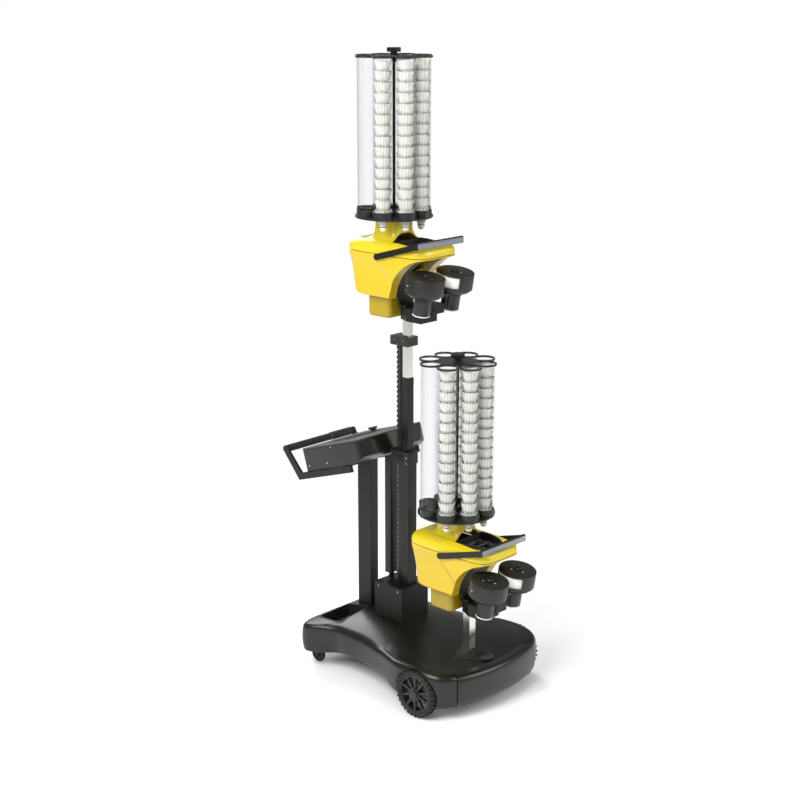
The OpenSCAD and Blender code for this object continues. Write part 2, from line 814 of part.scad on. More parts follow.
module head_shell() {
    boss_in = 84;
    bosses = [[-6, housing_half_w - 6], [148, housing_half_w - 6.5]];
    color(amber)
    difference() {
        shell_form(0, -seam_drop);
        difference() {
            shell_form(housing_wall, 1 - seam_drop);
            arch(arch_r + housing_wall);
            for (sx = [-1, 1], b = bosses) translate([sx * (b[1] + boss_in) / 2, b[0], plate_z - 56])
                linear_extrude(56) square([b[1] - boss_in, 20], center = true);
        }
        arch(arch_r);
        rod_x([0, bail_pivot_y, bail_pivot_z], 400, 6);
        span_box([-42, -128, -220], [42, -50, -120]);
        span_box([-38, 2, -housing_drop - 1], [38, 18, -housing_drop + 10]);
    }
}

// Lower box of the housing, over the drive belt
module gear_cover() {
    color(amber)
    translate([0, 88, 85 - housing_drop - 170]) difference() {
        union() {
            translate([0, 0, 6]) rounded_plate(154, 116, 20, 79);
            rounded_plate(146, 108, 16, 7);
        }
        translate([0, 0, 4]) rounded_plate(140, 102, 13, 82);
    }
}

// Frame of a head: the block on the post, the riser, the plate and the carousel bearing
module head_frame() {
    color(black)
    difference() {
        union() {
            translate([0, 0, block_bottom]) linear_extrude(block_top - block_bottom) {
                circle(28);
                polygon([[-28, 0], [28, 0], [46, -34], [46, -112], [-46, -112], [-46, -34]]);
            }
            span_box([-30, -pivot_front - 14, block_top - 8], [30, -104, -pivot_drop + 14]);
            rod_x([0, -pivot_front, -pivot_drop], 96, pivot_r);
            span_box([-36, 4, block_top - 2], [36, 16, plate_z + 1]);
            span_box([-36, -24, block_top - 2], [36, 16, block_top + 8]);
            for (sx = [-1, 1]) span_box([sx * 32 - 4, 4, 8 - housing_drop], [sx * 32 + 4, 120, plate_z + 1]);
            translate([0, 0, plate_z]) linear_extrude(4) difference() {
                union() {
                    translate([0, 34]) square([206, 336], center = true);
                    translate([0, bail_pivot_y]) square([212, 24], center = true);
                }
                translate([0, -62]) square([110, 116], center = true);
            }
            for (sx = [-1, 1])
                span_box([sx * 102 - 4, bail_pivot_y - 11, bail_pivot_z - 10],
                    [sx * 102 + 4, bail_pivot_y + 11, plate_z + 2]);
            translate([0, carousel_y, plate_z]) cylinder(h = -plate_z, r = 18);
            translate([0, carousel_y, plate_z - 50]) cylinder(h = 52, r = 24);
            for (sx = [-1, 1]) span_box([sx * 70 - 5, -9, plate_z + 2], [sx * 70 + 5, 9, -106]);
            rod_x([0, 0, -114], 150, 4);
        }
        translate([0, carousel_y, plate_z - 40]) cylinder(h = 200, r = 6 + run_gap);
        translate([0, 0, -disc_rise - 10]) cylinder(h = 56 + 10 + 1, r = spigot_r + run_gap);
        for (sx = [-1, 1]) rod_x([sx * 102, bail_pivot_y, bail_pivot_z], 20, 4 + run_gap);
    }
}

// Lever that takes the shuttle under the disc and swings it down to the rollers
module feed_arm() {
    color(grey)
    difference() {
        union() {
            rod_x([0, 0, -114], 120, 9);
            for (sx = [-1, 1]) {
                translate([sx * 34 - 5, 0, -114]) rotate([90, 0, 90]) linear_extrude(10)
                    polygon([[4, 8], [-60, 18], [-92, 12], [-92, 2], [-60, 6], [4, -8]]);
                span_box([sx * 26 - 12, -98, -110], [sx * 26 + 12, -86, -98]);
            }
            rod_x([0, -60, -102], 74, 5);
        }
        rod_x([0, 0, -114], 200, 4 + run_gap);
    }
}

// Carousel

module at_tubes(count, first = first_tube_angle) {
    for (i = [0 : count - 1]) translate([0, carousel_y, 0]) rotate([0, 0, first + i * tube_step])
        translate([tube_circle_r, 0, 0]) children();
}

cup_r = tube_r + slide_gap + 3.4;

module turntable() {
    color(black)
    difference() {
        union() {
            translate([0, carousel_y, 0]) cylinder(h = tube_z, r = disc_r, $fn = 120);
            at_tubes(tube_count) cylinder(h = tube_z + 26, r = cup_r);
            translate([0, carousel_y, 0]) cylinder(h = 26, r = 20);
        }
        at_tubes(tube_count) translate([0, 0, tube_z]) cylinder(h = 60, r = tube_r + slide_gap);
        at_tubes(tube_count) translate([0, 0, -1]) cylinder(h = 20, r = 22);
        translate([0, carousel_y, -1]) cylinder(h = 60, r = 6);
    }
}

module carousel_shaft() {
    color(black)
    translate([0, carousel_y, 0]) {
        translate([0, 0, plate_z - 20]) cylinder(h = ring_z + 25 - plate_z, r = 6);
        translate([0, 0, ring_z - 22]) cylinder(h = 18, r = 11);
        translate([0, 0, ring_z + 4]) cylinder(h = 12, r = 13);
        difference() {
            translate([0, 0, ring_z + 15]) cylinder(h = 16, r = 26.5);
            for (i = [0 : 11]) rotate([0, 0, i * 30]) translate([28, 0, ring_z + 14])
                cylinder(h = 20, r = 3.4);
        }
    }
}

module ring_plate() {
    color(black)
    difference() {
        union() {
            at_tubes(tube_count) cylinder(h = 8, r = cup_r + 1.5);
            translate([0, carousel_y, 2]) cylinder(h = 4, r = 92);
            translate([0, carousel_y, 0]) cylinder(h = 8, r = 18);
        }
        at_tubes(tube_count) translate([0, 0, -1]) cylinder(h = 20, r = tube_r + slide_gap);
        translate([0, carousel_y, -1]) cylinder(h = 20, r = 6);
    }
}

// A run of tubes from the given angle on
module tubes(count, first) {
    color([0.85, 0.9, 0.92, 0.35])
    at_tubes(count, first) translate([0, 0, tube_z]) difference() {
        cylinder(h = tube_len, r = tube_r);
        translate([0, 0, -1]) cylinder(h = tube_len + 2, r = tube_r - tube_wall);
    }
}

// The tubes that follow the filled ones
module empty_tubes() {
    tubes(tube_count - filled_count, first_tube_angle + filled_count * tube_step);
}

// One shuttle, cork down: the cork's round tip at z = 0, the feathers' ends at the top.
// A ring inside the feathers takes the cork of the next one.
module shuttle() {
    cork_r = 13.5;
    cork_h = 26;
    skirt_h = 85;
    skirt_r = tube_r - tube_wall - 2.4;
    skirt_t = 1.2;
    seat_z = shuttle_pitch + cork_r;
    slope = (skirt_r - cork_r) / (skirt_h - cork_h);
    inner_r = cork_r + slope * (seat_z - cork_h) - skirt_t;
    rotate_extrude($fn = 36) polygon(concat(
        [for (a = [0 : 30 : 90]) [cork_r * sin(a), cork_r * (1 - cos(a))]],
        [[cork_r, cork_h], [skirt_r, skirt_h], [skirt_r - skirt_t, skirt_h]],
        [[inner_r + slope * 2, seat_z + 2], [cork_r + slide_gap, seat_z + 1],
            [cork_r + slide_gap, seat_z - 1],
         [inner_r - slope * 2, seat_z - 2], [cork_r - 1, cork_h + 1], [0, cork_h + 1]]
    ));
}

// The lowest shuttle hangs in the hole of the disc
module shuttles() {
    lowest = -45;
    count = floor((tube_len - 60) / shuttle_pitch) + 1;
    color([0.93, 0.93, 0.9])
    at_tubes(filled_count) for (i = [0 : count - 1]) translate([0, 0, lowest + i * shuttle_pitch]) shuttle();
}

// Bail across the front of the head
module bail() {
    arm_t = 5;
    pin_l = bail_x + arm_t / 2 - ear_x;
    color(black) {
        for (sx = [-1, 1]) {
            translate([sx * bail_x - arm_t / 2, 0, 0]) rotate([90, 0, 90]) linear_extrude(arm_t) {
                translate([bail_pivot_y, bail_pivot_z]) circle(12);
                polygon([
                    [bail_pivot_y - 4, bail_pivot_z - 11.3], [bail_pivot_y + 4, bail_pivot_z + 11.3],
                    [bail_bar_y - 6, bail_bar_z + 13], [bail_bar_y - 6, bail_bar_z - 10]
                ]);
            }
            rod_x([sx * (ear_x + pin_l / 2), bail_pivot_y, bail_pivot_z], pin_l, 4);
        }
        translate([0, bail_bar_y, bail_bar_z]) rotate([8, 0, 0])
            cube([2 * bail_x + arm_t, 11, 26], center = true);
    }
}

// Launcher. It leans about the pivot; before the lean its rollers stand upright.

module leaned() {
    translate([0, -pivot_front, -pivot_drop]) rotate([launch_lean, 0, 0]) children();
}

module launcher_carrier() {
    color(black)
    leaned() difference() {
        union() {
            difference() {
                translate([0, 0, drum_low - 14]) linear_extrude(14) {
                    square([2 * roller_x, 44], center = true);
                    for (sx = [-1, 1]) translate([sx * roller_x, 0]) circle(motor_r + 8);
                }
                for (sx = [-1, 1]) translate([sx * roller_x, 0, drum_low - 20]) cylinder(h = 30, r = motor_r);
            }
            for (sx = [-1, 1]) {
                span_box([sx * 40 - 5, -12, 0], [sx * 40 + 5, 12, drum_low - 2]);
                rod_x([sx * 40, 0, 0], 10, 14);
            }
        }
        rod_x([0, 0, 0], 200, pivot_r + run_gap);
    }
}

// Guard, motor housing and fixed shaft of one roller. The guard's wall is open from angle
// open_from over 160 degrees, where the shuttle passes between the rollers.
module guard(side) {
    wall = 4;
    open_from = side > 0 ? 125 : -105;
    translate([side * roller_x, 0, 0]) {
        difference() {
            translate([0, 0, drum_low]) cylinder(h = drum_high - drum_low, r = guard_r, $fn = 96);
            translate([0, 0, drum_low + wall])
                cylinder(h = drum_high - drum_low - 2 * wall, r = guard_r - wall, $fn = 96);
            translate([0, 0, drum_low + wall]) linear_extrude(drum_high - drum_low - 2 * wall)
                polygon(concat([[0, 0]],
                    [for (a = [0 : 32 : 160]) 100 * [cos(open_from + a), sin(open_from + a)]]));
        }
        translate([0, 0, drum_low]) cylinder(h = drum_high - drum_low, r = 5);
        translate([0, 0, drum_high]) difference() {
            cylinder(h = 4, r = 15);
            translate([0, 0, 1]) cylinder(h = 6, r = 6, $fn = 6);
        }
        translate([0, 0, -16]) cylinder(h = drum_low + 16 + 1, r = motor_r);
        translate([0, 0, -20]) cylinder(h = 4.5, r = motor_r + 2.5);
    }
}

module guards() {
    color(black) leaned() for (side = [-1, 1]) guard(side);
}

module roller(side) {
    color([0.93, 0.93, 0.9])
    leaned() translate([side * roller_x, 0, drum_low + 4 + 1]) difference() {
        union() {
            translate([0, 0, 4]) cylinder(h = roller_h, r = roller_r, $fn = 96);
            cylinder(h = drum_high - drum_low - 10, r = 16);
        }
        translate([0, 0, -1]) cylinder(h = 80, r = 5 + run_gap);
    }
}

// Moves a piece so that the origin lies under the middle of the machine's length
module placed() {
    translate([0, (front_reach - rear_reach) / 2, 0]) children();
}

module at_upper() {
    translate([0, 0, upper_z]) children();
}

module at_lower() {
    translate([0, -lower_head_y, lower_z]) children();
}

placed() chassis();
placed() base_cover();
placed() bumper();
placed() battery_tray();
placed() battery();
placed() axle();
placed() tyre(-1);  // tyre_left
placed() rim(-1);  // rim_left
placed() tyre(1);  // tyre_right
placed() rim(1);  // rim_right
placed() caster_fork(-1);  // caster_fork_left
placed() caster_wheel(-1);  // caster_wheel_left
placed() caster_fork(1);  // caster_fork_right
placed() caster_wheel(1);  // caster_wheel_right
placed() foot_box();
placed() outer_column();
placed() lift_drive();
placed() middle_tube();
placed() upper_post();
placed() collar_block();
placed() cable_chain();
placed() handle_post();
placed() console_tray();
placed() console_lid();
placed() stop_button();
placed() handle_frame();
placed() grips();
placed() front_post();
placed() at_upper() head_frame();  // upper_frame
placed() at_upper() head_shell();  // upper_shell
placed() at_upper() head_cover();  // upper_cover
placed() at_upper() gear_cover();  // upper_gear_cover
placed() at_upper() turntable();  // upper_turntable
placed() at_upper() carousel_shaft();  // upper_shaft
placed() at_upper() translate([0, 0, ring_z - 4])  // upper_ring_plate
    ring_plate();
placed() at_upper() tubes(filled_count, first_tube_angle);  // upper_full_tubes
placed() at_upper() empty_tubes();  // upper_empty_tubes
placed() at_upper() shuttles();  // upper_shuttles
placed() at_upper() bail();  // upper_bail
placed() at_upper() feed_arm();  // upper_feed_arm
placed() at_upper() launcher_carrier();  // upper_carrier
placed() at_upper() guards();  // upper_guards
placed() at_upper() roller(-1);  // upper_roller_left
placed() at_upper() roller(1);  // upper_roller_right
placed() at_lower() head_frame();  // lower_frame
placed() at_lower() head_shell();  // lower_shell
placed() at_lower() head_cover();  // lower_cover
placed() at_lower() gear_cover();  // lower_gear_cover
placed() at_lower() turntable();  // lower_turntable
placed() at_lower() carousel_shaft();  // lower_shaft
placed() at_lower() translate([0, 0, ring_z - 4])  // lower_ring_plate
    ring_plate();
placed() at_lower() tubes(filled_count, first_tube_angle);  // lower_full_tubes
placed() at_lower() empty_tubes();  // lower_empty_tubes
placed() at_lower() shuttles();  // lower_shuttles
placed() at_lower() bail();  // lower_bail
placed() at_lower() feed_arm();  // lower_feed_arm
placed() at_lower() launcher_carrier();  // lower_carrier
placed() at_lower() guards();  // lower_guards
placed() at_lower() roller(-1);  // lower_roller_left
placed() at_lower() roller(1);  // lower_roller_right
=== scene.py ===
"""Badminton serving machine: the pieces as they look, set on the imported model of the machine."""
import json
import math

import bmesh
import bpy
import numpy as np
from mathutils import Matrix, Vector


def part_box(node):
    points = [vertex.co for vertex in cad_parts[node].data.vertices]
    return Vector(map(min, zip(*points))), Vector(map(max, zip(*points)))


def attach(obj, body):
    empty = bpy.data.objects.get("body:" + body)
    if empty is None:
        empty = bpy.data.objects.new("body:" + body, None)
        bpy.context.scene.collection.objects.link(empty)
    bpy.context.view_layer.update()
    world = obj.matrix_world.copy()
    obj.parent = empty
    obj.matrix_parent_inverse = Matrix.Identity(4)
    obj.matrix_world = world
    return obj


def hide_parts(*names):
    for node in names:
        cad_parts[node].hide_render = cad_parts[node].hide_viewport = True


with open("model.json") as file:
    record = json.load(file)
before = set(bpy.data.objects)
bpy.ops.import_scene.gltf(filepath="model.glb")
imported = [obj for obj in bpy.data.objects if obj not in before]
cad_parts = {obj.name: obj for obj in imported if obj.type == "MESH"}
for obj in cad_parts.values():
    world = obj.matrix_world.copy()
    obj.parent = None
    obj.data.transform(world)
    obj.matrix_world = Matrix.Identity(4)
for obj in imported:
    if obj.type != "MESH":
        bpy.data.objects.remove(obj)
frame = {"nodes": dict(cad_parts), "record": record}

bl_info = {
    "name": "Badminton serving machine",
    "version": (1, 0, 0),
    "blender": (4, 5, 0),
    "location": "View3D > Sidebar > Serving Machine",
    "description": "Sets the looks of a badminton serving machine on its packed model",
    "category": "Object",
}

MM = 0.001
RECORD = frame["record"]
SLOT_OF = {part["node"]: part["material_slot"] for part in RECORD["subparts"]}
BODY_OF = {node: body for body, nodes in RECORD["behaviour"]["bodies"].items() for node in nodes}
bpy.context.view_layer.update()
HEADS = ("upper", "lower")
SIDES = ((-1, "left"), (1, "right"))


def corners(node):
    """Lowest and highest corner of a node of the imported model, in millimetres."""
    low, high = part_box(node)
    return np.array(low) / MM, np.array(high) / MM


def middle(node):
    """Middle of a node's box, in millimetres."""
    low, high = corners(node)
    return (low + high) / 2


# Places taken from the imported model, in millimetres

MAST_Y = middle("upper_post")[1]
HEAD_AT = {
    "upper": np.array([0, MAST_Y, corners("upper_turntable")[0][2]]),
    "lower": np.array([0, middle("front_post")[1], corners("lower_turntable")[0][2]]),
}
CAROUSEL_Y = middle("upper_turntable")[1] - MAST_Y
ROLLER_X = middle("upper_roller_right")[0]

# Sizes of a head, in its own frame: the post's axis at x = y = 0, and z = 0 under the disc.
# RECESS is the corners of the opening as x and y, FEED_HOLE a place y, width and depth,
# BAIL_PIVOT and BAIL_BAR are places y and z.

HEAD_STEPS = 208
HALF_W = 118
FRONT = 170
REAR = 236
SEAM = 130
TOP_Z = -84
FRONT_FALL = 12
DROP = 300
WALL = 3
RECESS = ((-86, 8), (-76, -128), (76, -128), (86, 8), (70, 14), (-70, 14))
RECESS_MIDDLE = (0, -60)
FEED_HOLE = (-89, 84, 78)
ARCH_R = 192
ARCH_Y = -195
PIVOT_Y = -150
PIVOT_Z = -325
LEAN = 10
PLATE_Z = -134
BAIL_PIVOT = (47, -140)
BAIL_BAR = (-165, -77)
BAIL_TURN = 8
BAIL_W = 257
DRUM_LOW = 59
DRUM_HIGH = 134
GUARD_R = 74
MOTOR_R = 33
FOOT_R = 33.5
FOOT_Z = -20
KNOB_R = 14
ROLLER_R = 69
OPENING = 112
OPENING_EDGE = 55
TUBE_COUNT = 8
FILLED = 5
FIRST_TUBE = -157.5
TUBE_CIRCLE = 111.7
TUBE_R = 37
TUBE_WALL = 1.8
TUBE_LOW = 6
TUBE_LEN = 600
SHUTTLE_LEN = 85
CORK_R = 13.5
SHUTTLE_LOW = -45
SHUTTLE_PITCH = 39.7
SHUTTLE_TURN = 137.5
SHUTTLES_EACH = 15

# Sizes of the base, measured from the mast. CROWN_REACH is how far the crown runs to the rear and to
# the front, BAY and SLOT are a place x and y, width and depth.

BASE_STEPS = 416
BASE_HALF = 300
COVER_HALF = 318
WAIST = 76
WAIST_FROM = -330
WAIST_TO = 340
REAR_TAPER = 6
BASE_REAR = 350
BASE_FRONT = 522
COVER_FRONT = 516
SWEEP = 65
SHOULDER = 190
CROWN = 44
CROWN_Y = 35
CROWN_HALF = 245
CROWN_REACH = (300, 390)
FENDER = 10
FENDER_HALF = 60
FENDER_REACH = 170
UNDER_LIFT = 20
LIFT_FROM = -250
LIFT_TO = 260
BASE_WALL = 4
CLEAR = 70
AXLE_Y = -335
WHEEL_R = 95
WHEEL_ROOM = 4
WHEEL_IN = 270
BUMPER_ANGLE = 36.9
BUMPER_Z = 118
BUMPER_H = 62
BUMPER_BULGE = 26
BUMPER_DEPTH = 48
CAP_Y = -418
CAP_R = 30
BAY = (-121, 245, 166, 118)
SLOT = (-77, -406, 96, 5)
SLOT_TURN = -43

# Sizes of the console and the grips, in the console's own frame before it is sloped.
# FIELD is a place y, width and depth, BUTTON_AT a place x and y.

CONSOLE_Y = 224.5
CONSOLE_Z = 853
CONSOLE_TILT = 18
CONSOLE_W = 372
CONSOLE_H = 95
CONSOLE_FRONT = -170
CONSOLE_REAR = 185
LID = 5
FIELD = (40, 210, 130)
FIELD_DEPTH = 2
BUTTON_AT = (130, 70)
BUTTON_ROOM = 12.5
GRIP_Y = 261
GRIP_Z = 107
GRIP_END = 178

# Lamps in metres: name, place, height it looks at, width, and the setting that holds its power

LAMPS = (
    ("key_light", (-4.2, -0.6, 4.6), 1.1, 3.2, "key"),
    ("fill_light", (2.6, -4.4, 3.0), 1.1, 2.6, "fill"),
    ("rear_light", (1.8, 4.2, 3.6), 0.9, 2.6, "fill"),
)
FLOOR_W = 24000


def small_length(name, description, value):
    """A small length that the user can set, given in millimetres."""
    return bpy.props.FloatProperty(
        name=name, description=description, default=value * MM, min=0, unit="LENGTH")


def view_angle(name, description, value):
    """An angle that the user can set, given in degrees."""
    return bpy.props.FloatProperty(
        name=name, description=description, default=math.radians(value), subtype="ANGLE")


def amount(name, description, value, unit="NONE"):
    """A strength, power or distance that the user can set."""
    return bpy.props.FloatProperty(name=name, description=description, default=value, min=0, unit=unit)


def colour(name, description, value):
    """A colour that the user can set."""
    return bpy.props.FloatVectorProperty(
        name=name, description=description, default=value, size=3, min=0, max=1, subtype="COLOR")


class MachineSizes(bpy.types.PropertyGroup):
    """Small sizes of the looks"""

    edge: small_length("Edge rounding", "Rounding of the hard edges of metal and moulded parts", 1.2)
    seam: small_length("Seam", "Gap between the upper and the lower yellow housing", 2.0)
    relief: small_length("Side relief", "Step between the front and rear of the lower housing's sides", 7.0)
    feathers: bpy.props.IntProperty(
        name="Feathers", description="Feathers in a shuttle", default=16, min=8, max=24)
    overlap: bpy.props.FloatProperty(
        name="Feather overlap", description="Width of a feather against its share of the skirt",
        default=1.18, min=0.8, max=1.5)


class MachineColours(bpy.types.PropertyGroup):
    """Colours of the finishes"""

    lemon: colour("Upper housing", "Yellow of the upper housings", (0.64, 0.505, 0.010))
    amber: colour("Lower housing", "Warmer yellow of the lower housings", (0.60, 0.42, 0.010))
    gloss_black: colour("Base cover", "Black of the base cover and bumper", (0.0062, 0.0060, 0.0038))
    paint_black: colour("Frame", "Black of the painted and anodised metal", (0.0060, 0.0060, 0.0052))
    plastic_black: colour("Moulded black", "Black of guards, cups and rings", (0.0120, 0.0120, 0.0095))
    plastic_grey: colour("Moulded grey", "Grey of the console lid and levers", (0.030, 0.030, 0.030))
    bail_grey: colour("Bail face", "Blue grey of the bail's face", (0.16, 0.17, 0.20))
    rubber: colour("Rubber", "Black of the tyres and grips", (0.0070, 0.0070, 0.0062))
    bright: colour("Bright steel", "Colour of the posts", (0.74, 0.74, 0.70))
    foam: colour("Roller foam", "White of the rollers", (0.80, 0.79, 0.74))
    feather: colour("Feathers", "White of the feathers", (0.64, 0.635, 0.585))
    cork: colour("Cork", "Cream of the corks", (0.80, 0.74, 0.60))
    floor: colour("Floor", "Colour of the floor and background", (0.93, 0.93, 0.93))


class MachineStage(bpy.types.PropertyGroup):
    """Camera and light"""

    azimuth: view_angle("Azimuth", "Side from which the camera looks", -46.496)
    turn: view_angle("Turn", "Turn of the camera away from the mast", 0.290)
    pitch: view_angle("Pitch", "How far the camera looks down", 15.154)
    reach: amount("Reach", "Level distance of the camera from the mast", 5.9852, "LENGTH")
    height: amount("Height", "Height of the camera", 2.7600, "LENGTH")
    lens: amount("Lens", "Focal length on a sensor 36 mm wide", 70.782, "CAMERA")
    sky: amount("Sky", "Strength of the even light from all sides", 0.62)
    gloss: amount("Sky in gloss", "Strength of the sky as glossy surfaces mirror it", 0.22)
    key: amount("Key light", "Power of the large light at the left", 330, "POWER")
    fill: amount("Fill light", "Power of the light from the right", 110, "POWER")


# Shapes. A shape is its points, one row each in millimetres, and the list of its faces.

def ease(t):
    """0 below 0, 1 above 1, and 3t^2 - 2t^3 between them."""
    c = np.clip(t, 0, 1)
    return c * c * (3 - 2 * c)


def rounded_edge(count, power):
    """Points on |x|^power + |y|^power = 1, found from even steps round the square that holds the curve."""
    step = 4 * np.arange(count) / count
    side = np.floor(step).astype(int)
    u = 2 * (step - side) - 1
    one = np.ones(count)
    x = np.choose(side, [one, -u, -one, u])
    y = np.choose(side, [u, one, -u, -one])
    reach = (np.abs(x) ** power + np.abs(y) ** power) ** (1 / power)
    return x / reach, y / reach


def soften(rows, passes, closed=False):
    """Corner cutting: each pass replaces a row by points at a quarter and three quarters of every span."""
    for _ in range(passes):
        after = np.roll(rows, -1, axis=0) if closed else rows[1:]
        before = rows if closed else rows[:-1]
        cut = np.stack([0.75 * before + 0.25 * after, 0.25 * before + 0.75 * after], axis=1)
        cut = cut.reshape(-1, *rows.shape[1:])
        rows = cut if closed else np.concatenate([rows[:1], cut, rows[-1:]])
    return rows


def loft(rings, closed=False):
    """Skin over rings of points, each ring running left about the way the rings go.
    Open stacks are closed at each end by triangles to the end ring's middle."""
    rows, count = rings.shape[:2]
    row = np.arange(rows if closed else rows - 1)[:, None]
    col = np.arange(count)[None, :]
    after = (row + 1) % rows
    beside = (col + 1) % count
    quads = np.stack([
        row * count + col, row * count + beside, after * count + beside, after * count + col], axis=-1)
    faces = quads.reshape(-1, 4).tolist()
    points = rings.reshape(-1, 3)
    if not closed:
        ends = np.stack([rings[0].mean(0), rings[-1].mean(0)])
        low, high = len(points), len(points) + 1
        last = (rows - 1) * count
        k = np.arange(count)
        faces += np.stack([(k + 1) % count, k, np.full(count, low)], axis=1).tolist()
        faces += np.stack([last + k, last + (k + 1) % count, np.full(count, high)], axis=1).tolist()
        points = np.concatenate([points, ends])
    return points, faces


def turned(profile, steps=48, closed=False):
    """Surface of revolution about Z: each point (radius, height) of the profile becomes a ring."""
    angle = 2 * math.pi * np.arange(steps) / steps
    profile = np.array(profile, float)
    rings = np.stack([
        profile[:, :1] * np.cos(angle), profile[:, :1] * np.sin(angle),
        np.repeat(profile[:, 1:], steps, axis=1)], axis=-1)
    return loft(rings, closed)


def joined(shapes):
    """Several shapes as one."""
    points, faces, start = [], [], 0
    for some_points, some_faces in shapes:
        points.append(some_points)
        faces += [[start + i for i in face] for face in some_faces]
        start += len(some_points)
    return np.concatenate(points), faces


def moved(shape, offset):
    """The shape shifted by an offset in millimetres."""
    return shape[0] + np.array(offset, float), shape[1]


def rotation(axis, degrees):
    """Turning matrix about one of the axes x, y and z."""
    return np.array(Matrix.Rotation(math.radians(degrees), 3, axis.upper()))


def swung(shape, axis, degrees, centre=(0, 0, 0)):
    """The shape turned about an axis through centre."""
    centre = np.array(centre, float)
    return (shape[0] - centre) @ rotation(axis, degrees).T + centre, shape[1]


def outline(w, d, r, steps=6):
    """Rounded rectangle round the origin, counter-clockwise, as rows (x, y)."""
    turn = np.radians(np.arange(steps + 1) * 90 / steps)
    arcs = [
        np.stack([sx * (w / 2 - r) + r * np.cos(turn + a), sy * (d / 2 - r) + r * np.sin(turn + a)], axis=1)
        for sx, sy, a in ((1, 1, 0), (-1, 1, math.pi / 2), (-1, -1, math.pi), (1, -1, 1.5 * math.pi))]
    return np.concatenate(arcs)


def at_height(flat, z):
    """A flat outline as a ring at one height."""
    return np.column_stack([flat, np.full(len(flat), float(z))])


def prism(flat, low, high):
    """Straight block over a flat outline."""
    return loft(np.stack([at_height(flat, low), at_height(flat, high)]))


def pillow(w, d, h, r=2.0, soft=0.8):
    """Low block on z = 0 with a rounded plan: its outline is drawn in by soft at the foot and the top,
    and by 0.3 soft a little inside them."""
    flat = outline(w, d, r)
    inner = outline(w - 2 * soft, d - 2 * soft, max(r - soft, 0.1))
    half = outline(w - 0.6 * soft, d - 0.6 * soft, max(r - 0.3 * soft, 0.1))
    near = 0.3 * soft
    levels = ((inner, 0), (half, near), (flat, soft), (flat, h - soft), (half, h - near), (inner, h))
    return loft(np.stack([at_height(edge, z) for edge, z in levels]))


def screw(radius, height):
    """Round head on z = 0: a profile turned about Z, with a chamfer and a round socket sunk in its top."""
    return turned([
        (radius, 0), (radius, height * 0.7), (radius * 0.86, height), (radius * 0.52, height),
        (radius * 0.5, height * 0.35)], 18)


# Pieces

def bare(name, shape):
    """A shape as a new object without a finish, to be finished or only cut with."""
    mesh = bpy.data.meshes.new(name)
    mesh.from_pydata((shape[0] * MM).tolist(), [], shape[1])
    made = bpy.data.objects.new(name, mesh)
    bpy.context.scene.collection.objects.link(made)
    return made


def piece(name, shape, slot, body, sharp=40, finish=None):
    """A new object from a shape, riding on a body, with its slot's finish or another one by name."""
    made = bare(name, shape)
    made.data.validate()
    shade(made.data, sharp)
    made.data.materials.append(FINISHES[finish or slot])
    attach(made, body)
    return made


def shade(mesh, sharp):
    """Smooth shading, with edges over the angle kept sharp."""
    mesh.polygons.foreach_set("use_smooth", np.ones(len(mesh.polygons), bool))
    mesh.set_sharp_from_angle(angle=math.radians(sharp))


def settle(made):
    """Applies the object's modifiers to its mesh."""
    bpy.context.view_layer.update()
    result = bpy.data.meshes.new_from_object(made.evaluated_get(bpy.context.evaluated_depsgraph_get()))
    made.modifiers.clear()
    old = made.data
    made.data = result
    bpy.data.meshes.remove(old)


def carved(shape, cutters):
    """The shape without the space of each cutter, as a new shape."""
    made = bare("cutter", shape)
    for cutter in cutters:
        tool = bare("cutter", cutter)
        step = made.modifiers.new("carve", "BOOLEAN")
        step.operation = "DIFFERENCE"
        step.solver = "EXACT"
        step.object = tool
        settle(made)
        bpy.data.meshes.remove(tool.data)
    mesh = made.data
    points = np.empty(len(mesh.vertices) * 3)
    mesh.vertices.foreach_get("co", points)
    faces = [list(face.vertices) for face in mesh.polygons]
    bpy.data.meshes.remove(mesh)
    return points.reshape(-1, 3) / MM, faces


def round_edges(made, width, sharp):
    """Rounds the edges that are sharper than the angle; width in millimetres."""
    rounding = made.modifiers.new("rounding", "BEVEL")
    rounding.width = width * MM
    rounding.segments = 2
    rounding.limit_method = "ANGLE"
    rounding.angle_limit = math.radians(sharp)
    rounding.harden_normals = True
    rounding.use_clamp_overlap = True


def dressed(node, edge=None, finish=None, sharp=32):
    """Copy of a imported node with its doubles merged, its flat faces joined and its hard edges rounded.
    It stands for the node."""
    sizes = bpy.context.scene.machine_sizes
    mesh = frame["nodes"][node].data.copy()
    form = bmesh.new()
    form.from_mesh(mesh)
    bmesh.ops.remove_doubles(form, verts=form.verts, dist=2e-6)
    bmesh.ops.dissolve_limit(form, angle_limit=math.radians(0.4), verts=form.verts, edges=form.edges)
    form.to_mesh(mesh)
    form.free()
    mesh.materials.clear()
    mesh.materials.append(FINISHES[finish or SLOT_OF[node]])
    made = bpy.data.objects.new(node + "_finished", mesh)
    bpy.context.scene.collection.objects.link(made)
    shade(mesh, sharp)
    round_edges(made, sizes.edge / MM if edge is None else edge, sharp)
    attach(made, BODY_OF[node])
    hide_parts(node)
    return made


# Finishes

FINISHES = {}


def shaded(base, share):
    """The colour made lighter or darker by a share."""
    return tuple(min(1.0, c * share) for c in base)


